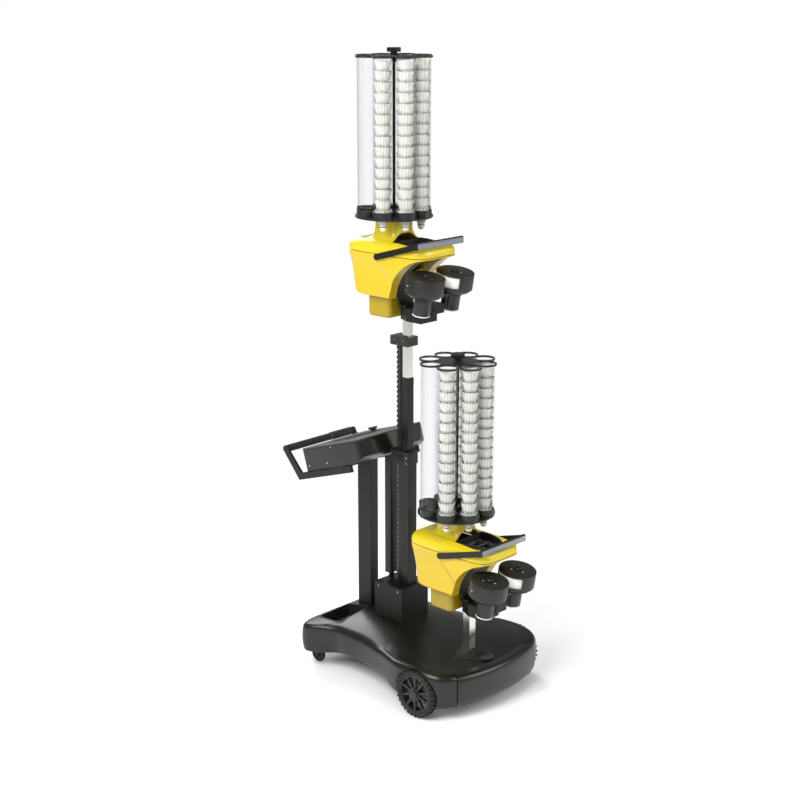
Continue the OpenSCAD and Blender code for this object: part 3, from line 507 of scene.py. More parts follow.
class Finish:
    """A material in the making, with its nodes and its shader."""

    def __init__(self, name):
        self.material = bpy.data.materials.new(name)
        self.material.use_nodes = True
        self.nodes = self.material.node_tree.nodes
        self.shader = self.nodes["Principled BSDF"]

    def add(self, kind, **values):
        """One shader node; each value goes to the socket of that name."""
        node = self.nodes.new("ShaderNode" + kind)
        for socket, value in values.items():
            node.inputs[socket].default_value = value
        return node

    def link(self, source, target):
        """Wires a socket to another one, or sets it to a number or a colour."""
        if isinstance(source, bpy.types.NodeSocket):
            self.material.node_tree.links.new(source, target)
        else:
            target.default_value = (*source, 1) if isinstance(source, tuple) else source

    def noise(self, size, detail=2.0, stretch=(1, 1, 1)):
        """Noise over the piece's own coordinates; size is how many grains go to a metre."""
        scale = self.add("Mapping", Scale=stretch)
        self.link(self.add("TexCoord").outputs["Object"], scale.inputs["Vector"])
        pattern = self.add("TexNoise", Scale=size, Detail=detail, Roughness=0.55)
        self.link(scale.outputs["Vector"], pattern.inputs["Vector"])
        return pattern.outputs["Fac"]

    def spread(self, source, low, high, start=0.3, end=0.7):
        """Carries a pattern's values from the span start to end onto low to high."""
        ranged = self.add("MapRange", **{"From Min": start, "From Max": end, "To Min": low, "To Max": high})
        self.link(source, ranged.inputs["Value"])
        return ranged.outputs["Result"]

    def mixed(self, factor, first, second):
        """Colour between first and second by factor; either may be a colour or a socket."""
        mix = self.add("Mix")
        mix.data_type = "RGBA"
        for source, target in zip((factor, first, second), (mix.inputs["Factor"], *mix.inputs[6:8])):
            self.link(source, target)
        return mix.outputs[2]

    def worked(self, operation, *values):
        """Result of an arithmetic node on numbers or sockets."""
        node = self.add("Math")
        node.operation = operation
        for value, socket in zip(values, node.inputs):
            self.link(value, socket)
        return node.outputs[0]

    def bump(self, source, strength, distance):
        """Height pattern on the surface; distance in millimetres."""
        relief = self.add("Bump", Strength=strength, Distance=distance * MM)
        self.link(source, relief.inputs["Height"])
        self.link(relief.outputs["Normal"], self.shader.inputs["Normal"])

    def done(self, values):
        """Sets or wires the shader's sockets by their names, and gives the material back."""
        for name, value in values.items():
            self.link(value, self.shader.inputs[name])
        return self.material


def moulded(name, base, gloss, drift=0.05, grain=900, depth=0.05, coat=0.0, patch=7.0):
    """Moulded plastic: a slow drift of colour and gloss, a fine grain, and a clear skin where coat is set."""
    look = Finish(name)
    slow = look.noise(patch, 3.0)
    fine = look.noise(grain, 2.0)
    look.bump(fine, 0.25, depth)
    return look.done({
        "Base Color": look.mixed(slow, shaded(base, 1 - drift), shaded(base, 1 + drift)),
        "Roughness": look.spread(fine, gloss - 0.04, gloss + 0.05),
        "Coat Weight": coat, "Coat Roughness": 0.12})


def painted(name, base, gloss, depth=0.06):
    """Powder coat or anodised metal: fine orange peel with a faint lighter speckle."""
    look = Finish(name)
    speckle = look.spread(look.noise(2600, 1.0), 0, 1, 0.55, 0.8)
    peel = look.noise(650, 2.0)
    look.bump(peel, 0.3, depth)
    return look.done({
        "Base Color": look.mixed(speckle, base, shaded(base, 2.2)),
        "Roughness": look.spread(peel, gloss - 0.05, gloss + 0.06),
        "Specular IOR Level": 0.3})


def metal(name, base, gloss, stretch, depth=0.01):
    """Ground or polished metal: long fine scratches along one axis."""
    look = Finish(name)
    lines = look.noise(900, 3.0, stretch)
    look.bump(lines, 0.2, depth)
    return look.done({
        "Base Color": look.mixed(lines, shaded(base, 0.86), base),
        "Roughness": look.spread(lines, gloss * 0.7, gloss * 1.4),
        "Metallic": 1.0})


def rubber(name, base):
    """Matt rubber with a dusty bloom in its grain."""
    look = Finish(name)
    bloom = look.spread(look.noise(60, 4.0), 0, 1)
    fine = look.noise(1400, 3.0)
    look.bump(fine, 0.4, 0.15)
    return look.done({
        "Base Color": look.mixed(bloom, base, shaded(base, 2.4)),
        "Roughness": look.spread(fine, 0.58, 0.82)})


def clear_plastic(name):
    """Thin clear plastic: straight through it, with a gloss skin and a faint grey edge."""
    look = Finish(name)
    edge = look.add("LayerWeight", Blend=0.22).outputs["Facing"]
    haze = look.noise(14, 3.0, (1, 1, 0.3))
    return look.done({
        "Base Color": look.mixed(edge, (0.97, 0.975, 0.98), (0.62, 0.62, 0.66)),
        "Roughness": look.spread(haze, 0.0, 0.035),
        "Transmission Weight": 1.0, "IOR": 1.0, "Coat Weight": 0.6, "Coat Roughness": 0.03})


def feather_white(name, base):
    """Feather vane: slanting barbs, with painted shade at the vane's edges where the vanes overlap, and
    darker towards the shaft for the quill zone and for painted shade under the shuttle above. The piece's own
    map says how far across and along its vane a point lies."""
    look = Finish(name)
    place = look.add("UVMap")
    place.uv_map = "vane"
    split = look.add("SeparateXYZ")
    look.link(place.outputs["UV"], split.inputs["Vector"])
    barbs = look.add("TexWave", Scale=5.0, Distortion=1.5, Detail=2.0)
    barbs.wave_type = "BANDS"
    barbs.bands_direction = "DIAGONAL"
    look.link(place.outputs["UV"], barbs.inputs["Vector"])
    across = look.worked("ABSOLUTE", look.worked("SUBTRACT", split.outputs["X"], 0.5))
    # Painted shade at the vane's edges, where the vanes overlap: down to 0.45 of the white.
    edge = look.spread(across, 0, 1, 0.30, 0.5)
    barb = look.spread(barbs.outputs["Fac"], 0, 1, 0, 1)
    vane = look.mixed(edge, look.mixed(barb, shaded(base, 0.93), base), shaded(base, 0.45))
    # Darker towards the shaft, down to 0.66: the quill zone, and painted shade under the rim of the shuttle
    # above.
    quill_and_shade = look.spread(split.outputs["Y"], 0, 1, 0.52, 0.68)
    look.bump(barbs.outputs["Fac"], 0.3, 0.2)
    return look.done({
        "Base Color": look.mixed(quill_and_shade, shaded(base, 0.66), vane),
        "Roughness": 0.6, "Sheen Weight": 0.25})


def leather_cork(name, base):
    """Thin leather over cork: soft mottling and fine wrinkles."""
    look = Finish(name)
    mottle = look.noise(220, 3.0)
    look.bump(look.noise(900, 4.0), 0.4, 0.1)
    return look.done({
        "Base Color": look.mixed(mottle, shaded(base, 0.86), shaded(base, 1.08)),
        "Roughness": 0.52})


def roller_foam(name, base):
    """Dense foam: small closed pores with painted shade in them, and faint dirt from the shuttles."""
    look = Finish(name)
    place = look.add("TexCoord")
    pores = look.add("TexVoronoi", Scale=520.0)
    look.link(place.outputs["Object"], pores.inputs["Vector"])
    dirt = look.noise(18, 4.0, (1, 1, 2.5))
    tone = look.mixed(look.spread(dirt, 0, 1, 0.4, 0.75), base, shaded(base, 0.84))
    # Painted shade in the pores: darker, down to 0.7, at each pore's middle.
    hole = look.spread(pores.outputs["Distance"], 0, 1, 0.0, 0.35)
    look.bump(pores.outputs["Distance"], 0.35, 0.25)
    return look.done({
        "Base Color": look.mixed(hole, shaded(base, 0.7), tone), "Roughness": 0.9})


def screen_glass(name):
    """Dark glass of the console's screen."""
    look = Finish(name)
    film = look.noise(5, 3.0)
    smear = look.noise(30, 4.0)
    return look.done({
        "Base Color": look.mixed(film, (0.010, 0.012, 0.016), (0.022, 0.025, 0.030)),
        "Roughness": look.spread(smear, 0.06, 0.14),
        "Coat Weight": 0.25, "Coat Roughness": 0.2})


def make_finishes():
    """Every finish of the machine, by the name of its slot."""
    paint = bpy.context.scene.machine_colours
    FINISHES.update({
        "black_frame": painted("black_powder_coat", tuple(paint.paint_black), 0.42),
        "column": painted("black_anodised", tuple(paint.paint_black), 0.34, 0.03),
        "black_cover": moulded("gloss_black_moulding", tuple(paint.gloss_black), 0.34, 0.12, 500, 0.02, 0.08),
        "black_plastic": moulded("satin_black_plastic", tuple(paint.plastic_black), 0.40, 0.10, 900, 0.05),
        "grey_plastic": moulded("satin_grey_plastic", tuple(paint.plastic_grey), 0.42, 0.08, 900, 0.06),
        "steel": metal("zinc_steel", (0.55, 0.56, 0.57), 0.34, (1, 1, 1), 0.02),
        "bright_post": metal("bright_steel", tuple(paint.bright), 0.16, (1, 1, 0.02)),
        "tread": rubber("tyre_rubber", tuple(paint.rubber)),
        "soft_rubber": rubber("grip_rubber", tuple(paint.rubber)),
        "yellow": moulded("lemon_plastic", tuple(paint.lemon), 0.30, 0.03, 700, 0.02, 0.2),
        "amber": moulded("amber_plastic", tuple(paint.amber), 0.32, 0.03, 700, 0.02, 0.15),
        # The gear cover's amber, darkened to 0.62, is painted shade for its front face, which falls in
        # shadow.
        "amber_in_painted_shade": moulded("deep_amber_plastic", shaded(paint.amber, 0.62), 0.32, 0.05, 700, 0.02, 0.1),
        "clear_tube": clear_plastic("clear_plastic"),
        "feather": feather_white("feather_vane", tuple(paint.feather)),
        "foam": roller_foam("roller_foam", tuple(paint.foam)),
        "bail_grey": painted("black_enamel", tuple(paint.paint_black), 0.25, 0.02),
        "bail_face": moulded("blue_grey_enamel", tuple(paint.bail_grey), 0.2, 0.06, 500, 0.02, 0.6),
        "cork": leather_cork("cork_leather", tuple(paint.cork)),
        "band": moulded("dark_band", (0.012, 0.014, 0.018), 0.4),
        "white_ring": moulded("white_nylon", (0.78, 0.78, 0.74), 0.4, 0.04),
        "screen": screen_glass("screen_glass"),
        "screw": metal("dark_screw", (0.30, 0.30, 0.30), 0.3, (1, 1, 1), 0.02),
        "bright_screw": metal("bright_screw", (0.72, 0.72, 0.70), 0.22, (1, 1, 1), 0.02),
        # Matt black of the recess wall, and of the arch's sheet of painted shade.
        "dark_inside": moulded("dark_inside", (0.012, 0.011, 0.009), 0.55),
    })


# Stage

def camera_place(stage):
    """The camera's right, up and back directions and its place, as one matrix."""
    a = stage.azimuth
    facing = a + stage.turn
    place = np.array([math.sin(a) * stage.reach, -math.cos(a) * stage.reach + MAST_Y * MM, stage.height])
    right = np.array([math.cos(facing), math.sin(facing), 0])
    level = np.array([-math.sin(facing), math.cos(facing), 0])
    ahead = level * math.cos(stage.pitch) - np.array([0, 0, math.sin(stage.pitch)])
    up = np.cross(right, ahead)
    matrix = Matrix.Identity(4)
    for row in range(3):
        matrix[row][0:4] = (right[row], up[row], -ahead[row], place[row])
    return matrix


def area_light(name, place, height, size, power):
    """Square lamp at place, looking at a height on the middle of the stage."""
    lamp = bpy.data.lights.new(name, "AREA")
    lamp.size = size
    lamp.energy = power
    made = bpy.data.objects.new(name, lamp)
    made.location = place
    made.rotation_mode = "QUATERNION"
    made.rotation_quaternion = (Vector((0, 0, height)) - Vector(place)).to_track_quat("-Z", "Y")
    bpy.context.scene.collection.objects.link(made)


def floor_finish(base):
    """Pale floor that keeps shadows near the machine and turns to plain white further off."""
    look = Finish("pale_floor")
    place = look.add("TexCoord")
    distance = look.add("VectorMath")
    distance.operation = "LENGTH"
    look.link(place.outputs["Object"], distance.inputs[0])
    far = look.spread(distance.outputs["Value"], 0, 1, 0.9, 2.2)
    path = look.add("LightPath").outputs
    direct = look.worked("MAXIMUM", path["Is Camera Ray"], path["Is Transmission Ray"])
    white = look.add("Emission", Color=(1, 1, 1, 1), Strength=1.0)
    blend = look.add("MixShader")
    sources = (look.worked("MULTIPLY", far, direct), look.shader.outputs[0], white.outputs[0])
    for source, target in zip(sources, blend.inputs):
        look.link(source, target)
    look.link(blend.outputs[0], look.nodes["Material Output"].inputs["Surface"])
    fine = look.noise(90, 3.0)
    return look.done({
        "Base Color": look.mixed(fine, shaded(base, 0.995), base),
        "Roughness": 0.7, "Specular IOR Level": 0.1})


def white_world(strength, gloss):
    """Even soft light, seen by the camera and through clear plastic as plain white, and dim in gloss."""
    world = bpy.data.worlds.new("studio")
    world.use_nodes = True
    bpy.context.scene.world = world
    nodes, links = world.node_tree.nodes, world.node_tree.links
    nodes.remove(nodes["Background"])

    def white(power):
        """White light from all sides."""
        light = nodes.new("ShaderNodeBackground")
        light.inputs["Strength"].default_value = power
        light.inputs["Color"].default_value = (1, 1, 1, 1)
        return light.outputs[0]

    def chosen(factor, first, second):
        """The first light where the factor is 0 and the second where it is 1."""
        blend = nodes.new("ShaderNodeMixShader")
        for source, target in zip((factor, first, second), blend.inputs):
            links.new(source, target)
        return blend.outputs[0]

    path = nodes.new("ShaderNodeLightPath").outputs
    direct = nodes.new("ShaderNodeMath")
    direct.operation = "MAXIMUM"
    links.new(path["Is Camera Ray"], direct.inputs[0])
    links.new(path["Is Transmission Ray"], direct.inputs[1])
    even = chosen(path["Is Glossy Ray"], white(strength), white(gloss))
    links.new(chosen(direct.outputs[0], even, white(1.0)), nodes["World Output"].inputs["Surface"])


class MACHINE_OT_stage(bpy.types.Operator):
    """Sets the camera, the lights, the floor and the background"""

    bl_idname = "machine.stage"
    bl_label = "Stage"

    def execute(self, context):
        stage = context.scene.machine_stage
        lens = bpy.data.cameras.new("photo_camera")
        lens.sensor_width = 36
        lens.lens = stage.lens
        lens.clip_end = 60
        camera = bpy.data.objects.new("photo_camera", lens)
        camera.matrix_world = camera_place(stage)
        context.scene.collection.objects.link(camera)
        context.scene.camera = camera
        for name, place, height, size, power in LAMPS:
            area_light(name, place, height, size, getattr(stage, power))
        ground = bare("floor", prism(outline(FLOOR_W, FLOOR_W, 10), -30, 0))
        ground.data.materials.append(floor_finish(tuple(context.scene.machine_colours.floor)))
        white_world(stage.sky, stage.gloss)
        context.scene.view_settings.view_transform = "Standard"
        return {"FINISHED"}


# Base

def base_width(y):
    """Half width of the base cover: full at the rear and front, drawn in between them, and a little
    less at the rear."""
    waist = WAIST * ease((y - WAIST_FROM) / 400) * ease((WAIST_TO - y) / 180)
    return COVER_HALF - waist - REAR_TAPER * ease((y - 100) / 200)


def deck_height(x, y):
    """Deck: a crown that falls with the square of the distance to each side, on a level shoulder,
    and a fender that rises over each wheel by the product of two such falls."""
    along = np.where(y > CROWN_Y, *CROWN_REACH)
    crown = CROWN * np.maximum(0, 1 - (x / CROWN_HALF) ** 2) * (1 - ((y - CROWN_Y) / along) ** 2)
    over_wheel = np.maximum(0, 1 - ((np.abs(x) - BASE_HALF) / FENDER_HALF) ** 2)
    fender = FENDER * over_wheel * np.maximum(0, 1 - ((y - AXLE_Y) / FENDER_REACH) ** 2) ** 2
    return SHOULDER + crown + fender


def base_outline(inset):
    """Plan of the base cover, drawn in by inset: a rounded rectangle with the waist's width, its front
    swept back by the square of the distance to the middle."""
    ex, ey = rounded_edge(BASE_STEPS, 10)
    half = (BASE_REAR + COVER_FRONT) / 2
    mid = (BASE_REAR - COVER_FRONT) / 2
    x = ex * (base_width(mid + ey * half) - inset)
    y = mid + ey * (half - inset) + SWEEP * ex ** 2 * ease(-ey * 1.4)
    return x, y


def base_rings():
    """The cover's rings from the middle of its inner face, out and down the wall, and back over the
    outside."""
    def under_deck(inset, drop):
        """Ring drawn in by inset, lying drop below the deck's height."""
        x, y = base_outline(inset)
        return np.stack([x, y, deck_height(x, y) - drop], axis=1)

    def level(inset, z, dip):
        """Ring near the lower edge, raised between the wheels and the castors and dipped at the front."""
        x, y = base_outline(inset)
        low = 1 - (z - CLEAR) / 60
        arch = UNDER_LIFT * low * ease((y - LIFT_FROM) / 150) * ease((LIFT_TO - y) / 150)
        return np.stack([x, y, z + arch - dip * ease((-y - 330) / 120)], axis=1)

    def on_deck(share, drop):
        """Ring on the deck, drawn in to a share of its size about the deck's middle."""
        x, y = base_outline(30)
        x, y = x * share, -60 + (y + 60) * share
        return np.stack([x, y, deck_height(x, y) - drop], axis=1)

    w = BASE_WALL
    inside = [
        *(on_deck(share, w) for share in (0.02, 0.3, 0.55, 0.8)), under_deck(30, w),
        under_deck(11 + w, 9 + w), under_deck(1 + w, 28), level(1 + w, CLEAR + 30, 8),
        level(5 + w, CLEAR + 1, 14)]
    outside = [
        level(5, CLEAR, 14), level(1, CLEAR + 30, 8), level(0, CLEAR + 60, 4), under_deck(1.5, 26),
        under_deck(5, 13.5), under_deck(12, 5), under_deck(22, 1), under_deck(32, 0),
        *(on_deck(share, 0) for share in (0.8, 0.6, 0.4, 0.2, 0.02))]
    return np.stack(inside + outside)


def bumper_form(grow=0.0):
    """The bumper's section carried round its arc, larger by grow. Its curve is a superellipse of power 3,
    and its ends grow by a twelfth of a degree for each millimetre."""
    radius = (BASE_HALF ** 2 + SWEEP ** 2) / (2 * SWEEP)
    half = math.radians(BUMPER_ANGLE / 2 + grow / 12)
    t = np.radians(np.linspace(-90, 90, 17))
    out, up = np.abs(np.cos(t)) ** (2 / 3), np.sign(t) * np.abs(np.sin(t)) ** (2 / 3)
    reach = BUMPER_H + grow
    curve = np.stack([radius - BUMPER_BULGE + (BUMPER_BULGE + grow) * out, BUMPER_Z + reach * up], axis=1)
    back = radius - BUMPER_DEPTH - grow
    section = np.concatenate([curve, [[back, BUMPER_Z + reach], [back, BUMPER_Z - reach]]])
    angle = np.linspace(-math.pi / 2 - half, -math.pi / 2 + half, 49)
    rings = np.stack([
        np.outer(np.cos(angle), section[:, 0]),
        np.outer(np.sin(angle), section[:, 0]) + radius - BASE_FRONT,
        np.repeat(section[None, :, 1], len(angle), axis=0)], axis=-1)
    return loft(rings[:, ::-1])


def lying(shape, side=1):
    """A shape that stands on Z laid over, so that its top points to the given side."""
    return swung(shape, "y", 90 * side)


class MACHINE_OT_base(bpy.types.Operator):
    """Builds the base cover with its bumper, well and cap, and finishes what is under it"""

    bl_idname = "machine.base"
    bl_label = "Base"

    def execute(self, context):
        shift = (0, MAST_Y, 0)
        skin = loft(soften(base_rings(), 2))
        bay_x, bay_y, bay_w, bay_d = BAY
        slot_x, slot_y, slot_w, slot_d = SLOT
        slot = swung(prism(outline(slot_w, slot_d, 2.4), 150, 250), "z", SLOT_TURN)
        wheel = turned([(WHEEL_R + WHEEL_ROOM, 0), (WHEEL_R + WHEEL_ROOM, 120)], 96)
        cutters = [
            bumper_form(1.0),
            moved(slot, (slot_x, slot_y, 0)),
            moved(prism(outline(bay_w, bay_d, 10), 150, 350), (bay_x, bay_y, 0)),
            moved(turned([(CAP_R - 1, 100), (CAP_R - 1, 250)], 64), (0, CAP_Y, 0))]
        for side, _ in SIDES:
            cutters.append(moved(lying(wheel, side), (side * WHEEL_IN, AXLE_Y, WHEEL_R)))
        cover = piece("base_cover_moulding", moved(carved(skin, cutters), shift), "black_cover", "base", 30)
        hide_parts("base_cover")
        self.add_bay(shift)
        self.add_cap(shift)
        bumper = piece("bumper_moulding", moved(bumper_form(), shift), "black_cover", BODY_OF["bumper"], 40)
        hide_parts("bumper")
        for node in ("battery_tray", "battery", "chassis"):
            dressed(node)
        return {"FINISHED"}

    def add_bay(self, shift):
        """Raised lip round the battery well, with the well's walls below it."""
        x0, y0, w, d = BAY
        rings = []
        for grow, lift in (
                (1.5, -60), (1.5, -4), (7.0, -2), (6.4, 1.4),
                (4.6, 3.0), (1.2, 3.0), (-0.5, 1.6), (-0.5, -60)):
            ring = outline(w + 2 * grow, d + 2 * grow, 10 + grow, 8)
            x, y = ring[:, 0] + x0, ring[:, 1] + y0
            rings.append(np.stack([x, y, deck_height(x, y) + lift], axis=1))
        lip = loft(np.stack(rings), closed=True)
        piece("battery_well_lip", moved(lip, shift), "black_plastic", "base", 35)

    def add_cap(self, shift):
        """Moulded cup in the front of the deck with a round grip in its middle."""
        z = float(deck_height(0, CAP_Y))
        cup = turned([
            (CAP_R + 4, z - 2), (CAP_R + 4, z + 0.6), (CAP_R + 2.5, z + 1.4), (CAP_R - 0.5, z + 0.8),
            (CAP_R - 2, z - 1.5), (CAP_R - 3, z - 16), (CAP_R - 6, z - 18), (13, z - 18), (12, z - 17),
            (11, z - 6), (9, z - 4.5), (2, z - 4), (2, z - 22), (CAP_R, z - 22)], 64)
        piece("deck_cap", moved(cup, (0, CAP_Y + shift[1], 0)), "black_plastic", "base", 35)


class MACHINE_OT_wheels(bpy.types.Operator):
    """Finishes the wheels, the castors and the axle, and adds the hub caps"""

    bl_idname = "machine.wheels"
    bl_label = "Wheels"

    def execute(self, context):
        dressed("axle", edge=0.5)
        for side, name in SIDES:
            for node, edge in (("tyre_", 1.0), ("rim_", 1.2), ("caster_fork_", 0.6), ("caster_wheel_", 0.8)):
                dressed(node + name, edge=edge)
            cap = turned([(16, 0), (16, 0.8), (13.5, 1.8), (7.5, 1.9), (6.5, 0.8), (1.5, 0.8)], 40)
            low, high = corners("rim_" + name)
            face = high[0] if side > 0 else low[0]
            centre = (face, middle("rim_" + name)[1], WHEEL_R)
            shape = moved(lying(cap, side), centre)
            piece("hub_cap_" + name, shape, "black_plastic", BODY_OF["rim_" + name], 35)
        return {"FINISHED"}


class MACHINE_OT_mast(bpy.types.Operator):
    """Finishes the mast's columns and the posts, and adds their screws"""

    bl_idname = "machine.mast"
    bl_label = "Mast"

    def execute(self, context):
        edges = {
            "foot_box": 1.6, "outer_column": 1.6, "lift_drive": 1.4, "middle_tube": 1.4, "upper_post": 1.4,
            "collar_block": 2.2, "cable_chain": 1.2, "handle_post": 1.8, "front_post": 1.6}
        for node, edge in edges.items():
            dressed(node, edge=edge)
        self.add_screws()
        return {"FINISHED"}

    def add_screws(self):
        """Socket screws in both sides of the outer column's head, the collar block and the foot box.
        A place is a share of the side's depth and a height above its top."""
        head = screw(4.2, 2.2)
        for node, body, places in (
                ("outer_column", "base", ((0.12, -22), (0.12, -46))),
                ("collar_block", BODY_OF["collar_block"], ((0.25, -14), (0.75, -14))),
                ("foot_box", "base", ((0.15, -16), (0.85, -16)))):
            low, high = corners(node)
            heads = []
            for side, _ in SIDES:
                face = high[0] if side > 0 else low[0]
                for share, drop in places:
                    spot = (face - side * 0.2, low[1] + share * (high[1] - low[1]), high[2] + drop)
                    heads.append(moved(lying(head, side), spot))
            piece(node + "_screws", joined(heads), "steel", body, 35, "screw")


def on_console(shape):
    """From the console's level frame, with z = 0 at its underside, onto its place over the handle post."""
    return moved(swung(shape, "x", -CONSOLE_TILT), (0, CONSOLE_Y + MAST_Y, CONSOLE_Z))


class MACHINE_OT_console(bpy.types.Operator):
    """Builds the console and its grips, and finishes the handle"""

    bl_idname = "machine.console"
    bl_label = "Console"

    def execute(self, context):
        depth = CONSOLE_REAR - CONSOLE_FRONT
        middle_y = (CONSOLE_REAR + CONSOLE_FRONT) / 2
        plan = outline(CONSOLE_W, depth, 26, 8) + (0, middle_y)
        slope = np.array([(-20, -20), (66, -20), (66, 0), (48, 0), (0, 23), (-20, 23)], float)
        slope[:, 0] += CONSOLE_FRONT
        nose = loft(np.stack([
            np.column_stack([np.full(len(slope), x), slope]) for x in (-CONSOLE_W, CONSOLE_W)]))
        tray = carved(prism(plan, 0, CONSOLE_H - LID - 0.5), [nose])
        field_y, field_w, field_d = FIELD
        field = prism(outline(field_w, field_d, 4), CONSOLE_H - FIELD_DEPTH, CONSOLE_H + 5)
        button = turned([(BUTTON_ROOM, 80), (BUTTON_ROOM, 110)], 48)
        lid = carved(prism(plan, CONSOLE_H - LID, CONSOLE_H), [
            moved(field, (0, field_y, 0)), moved(button, (*BUTTON_AT, 0))])
        for name, shape, slot in (("tray", tray, "black_cover"), ("lid", lid, "grey_plastic")):
            made = piece(f"console_{name}_moulding", on_console(shape), slot, "base", 32)
            round_edges(made, 1.8, 32)
            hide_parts("console_" + name)
        self.add_keys()
        self.add_grips()
        for node, edge in (("stop_button", 1.5), ("handle_frame", 1.8)):
            dressed(node, edge=edge)
        return {"FINISHED"}

    def add_keys(self):
        """Screen and keys in the lid's sunk field, and the small screws in the console's sides."""
        floor = CONSOLE_H - FIELD_DEPTH
        screen = moved(pillow(112, 66, 1.4, 3), (-38, 52, floor))
        piece("console_screen", on_console(screen), "grey_plastic", "base", 35, "screen")
        keys = [
            moved(pillow(18, 12, 2.6, 3), (x, y, floor))
            for x in (38, 62, 86) for y in (16, 38, 60, 82)]
        piece("console_keys", on_console(joined(keys)), "grey_plastic", "base", 35, "black_plastic")
        heads = []
        for side, _ in SIDES:
            for y, z in ((150, 22), (40, 22), (0, 84)):
                heads.append(moved(lying(screw(2.6, 1.0), side), (side * CONSOLE_W / 2, y, z)))
        piece("console_screws", on_console(joined(heads)), "steel", "base", 35, "bright_screw")

    def add_grips(self):
        """Two foam grips that meet at a collar on the bar, the right one shorter and thicker."""
        end = GRIP_END
        long_grip = turned([
            (12, -end), (14.4, 2 - end), (15, 6 - end), (15, 50), (14.4, 53), (12, 54)], 48)
        short_grip = turned([
            (12, 57), (16.3, 58), (16.8, 62), (16.8, end - 8), (16.3, end - 2), (12, end)], 48)
        collar = turned([(13, 53.5), (15.6, 54), (15.6, 57), (13, 57.5)], 48)
        for name, shape, finish in (
                ("long", long_grip, None), ("short", short_grip, None), ("joint", collar, "screw")):
            laid = moved(lying(shape), (0, GRIP_Y, GRIP_Z))
            made = piece(f"{name}_grip", on_console(laid), "soft_rubber", "base", 40, finish)
            if name == "long":
                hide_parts("grips")


# Heads

def forward(y):
    """How far a point has come from the middle of a head to its front, eased from 0 to 1."""
    return ease((-y - 20) / 150)


def housing_ring(half_w, front, rear, power, z, fall=0.0):
    """Ring of the housing between a front and a rear edge; fall draws its front down with the top face."""
    x, y = rounded_edge(HEAD_STEPS, power)
    y = (rear + front) / 2 + y * (rear - front) / 2
    return np.stack([x * half_w, y, z - fall * FRONT_FALL * forward(y)], axis=1)


def cover_ring(inset, z, fall=0.0):
    """Ring of the housing at its seam's size, drawn in by inset."""
    return housing_ring(HALF_W - inset, inset - FRONT, REAR - inset, 5.5, z, fall)


def neck_ring(half, z, power=4.0):
    """Square ring with rounded corners about the carousel's axis."""
    return housing_ring(half, CAROUSEL_Y - half, CAROUSEL_Y + half, power, z)


def rise_ring(share, z, wall):
    """Ring between the top face and the neck: its plan is mixed by the share of the way, and its height
    by the sixth power of the share."""
    low = cover_ring(34 + wall, TOP_Z - wall, 1)
    high = neck_ring(64 - wall, z)
    way = np.array([share, share, share ** 6])
    return low + (high - low) * way


def cover_rings(gap):
    """Upper housing: up the outer wall, over the shoulder and the neck, and back down the inner face."""
    w = WALL
    foot = -SEAM + gap
    return np.stack([
        cover_ring(w, foot), cover_ring(1.2, foot), cover_ring(0, foot + 1.6),
        cover_ring(0, foot + 8), cover_ring(0, -SEAM + 16), cover_ring(4, -SEAM + 30),
        cover_ring(16, -SEAM + 40, 0.6), cover_ring(34, TOP_Z, 1),
        rise_ring(0.5, -72, 0), rise_ring(0.85, -66, 0),
        neck_ring(62, -60), neck_ring(60, -30), neck_ring(60, -9),
        neck_ring(58, -5), neck_ring(22, -5, 2), neck_ring(22, -5 - w, 2),
        neck_ring(56, -5 - w), neck_ring(57, -30), neck_ring(59, -60 - w),
        rise_ring(0.85, -66 - w, w), rise_ring(0.5, -72 - w, w),
        cover_ring(34 + w, TOP_Z - w, 1), cover_ring(16 + w, -SEAM + 37, 0.6),
        cover_ring(4 + w, -SEAM + 27), cover_ring(w, -SEAM + 14)])


def recess_outline(shrink=0.0):
    """Plan of the opening over the feed, with its corners cut round, drawn in by shrink."""
    flat = soften(np.array(RECESS, float), 3, closed=True)
    away = flat - RECESS_MIDDLE
    return RECESS_MIDDLE + away * (1 - shrink / np.abs(away).max())


def head_cover_shape(gap):
    """Upper housing of a head with its neck, open over the feed."""
    skin = loft(soften(cover_rings(gap), 2, closed=True), closed=True)
    return carved(skin, [prism(recess_outline(), -125, -50)])


def recess_tray_shape():
    """Wall of the opening: from under the lip straight down to the plate."""
    outer = recess_outline(-0.4)
    inner = recess_outline(1.8)
    floor = PLATE_Z + 5

    def under_lip(edge, lift):
        """Ring that follows the fall of the top face."""
        return np.column_stack([edge, TOP_Z - FRONT_FALL * forward(edge[:, 1]) + lift])

    return loft(np.stack([
        at_height(inner, floor), at_height(outer, floor), under_lip(outer, -4), under_lip(outer, -1.2),
        under_lip(inner, -1.2), under_lip(inner, -4)]), closed=True)


def side_relief(ring, height):
    """Pushes the sides out before a slanting line and in behind it, half the height each way, by a soft
    step that fades at the seam and the foot."""
    x, y, z = ring[:, 0], ring[:, 1], ring[:, 2]
    line = 96 - 0.95 * (-SEAM - z)
    step = ease((line - y) / 26) - 0.5
    fade = ease((-SEAM - 12 - z) / 40) * ease((z + DROP - 4) / 26)
    flank = ease((np.abs(x) / HALF_W - 0.8) / 0.12)
    pushed = ring.copy()
    pushed[:, 0] += np.sign(x) * height * step * fade * flank
    return pushed


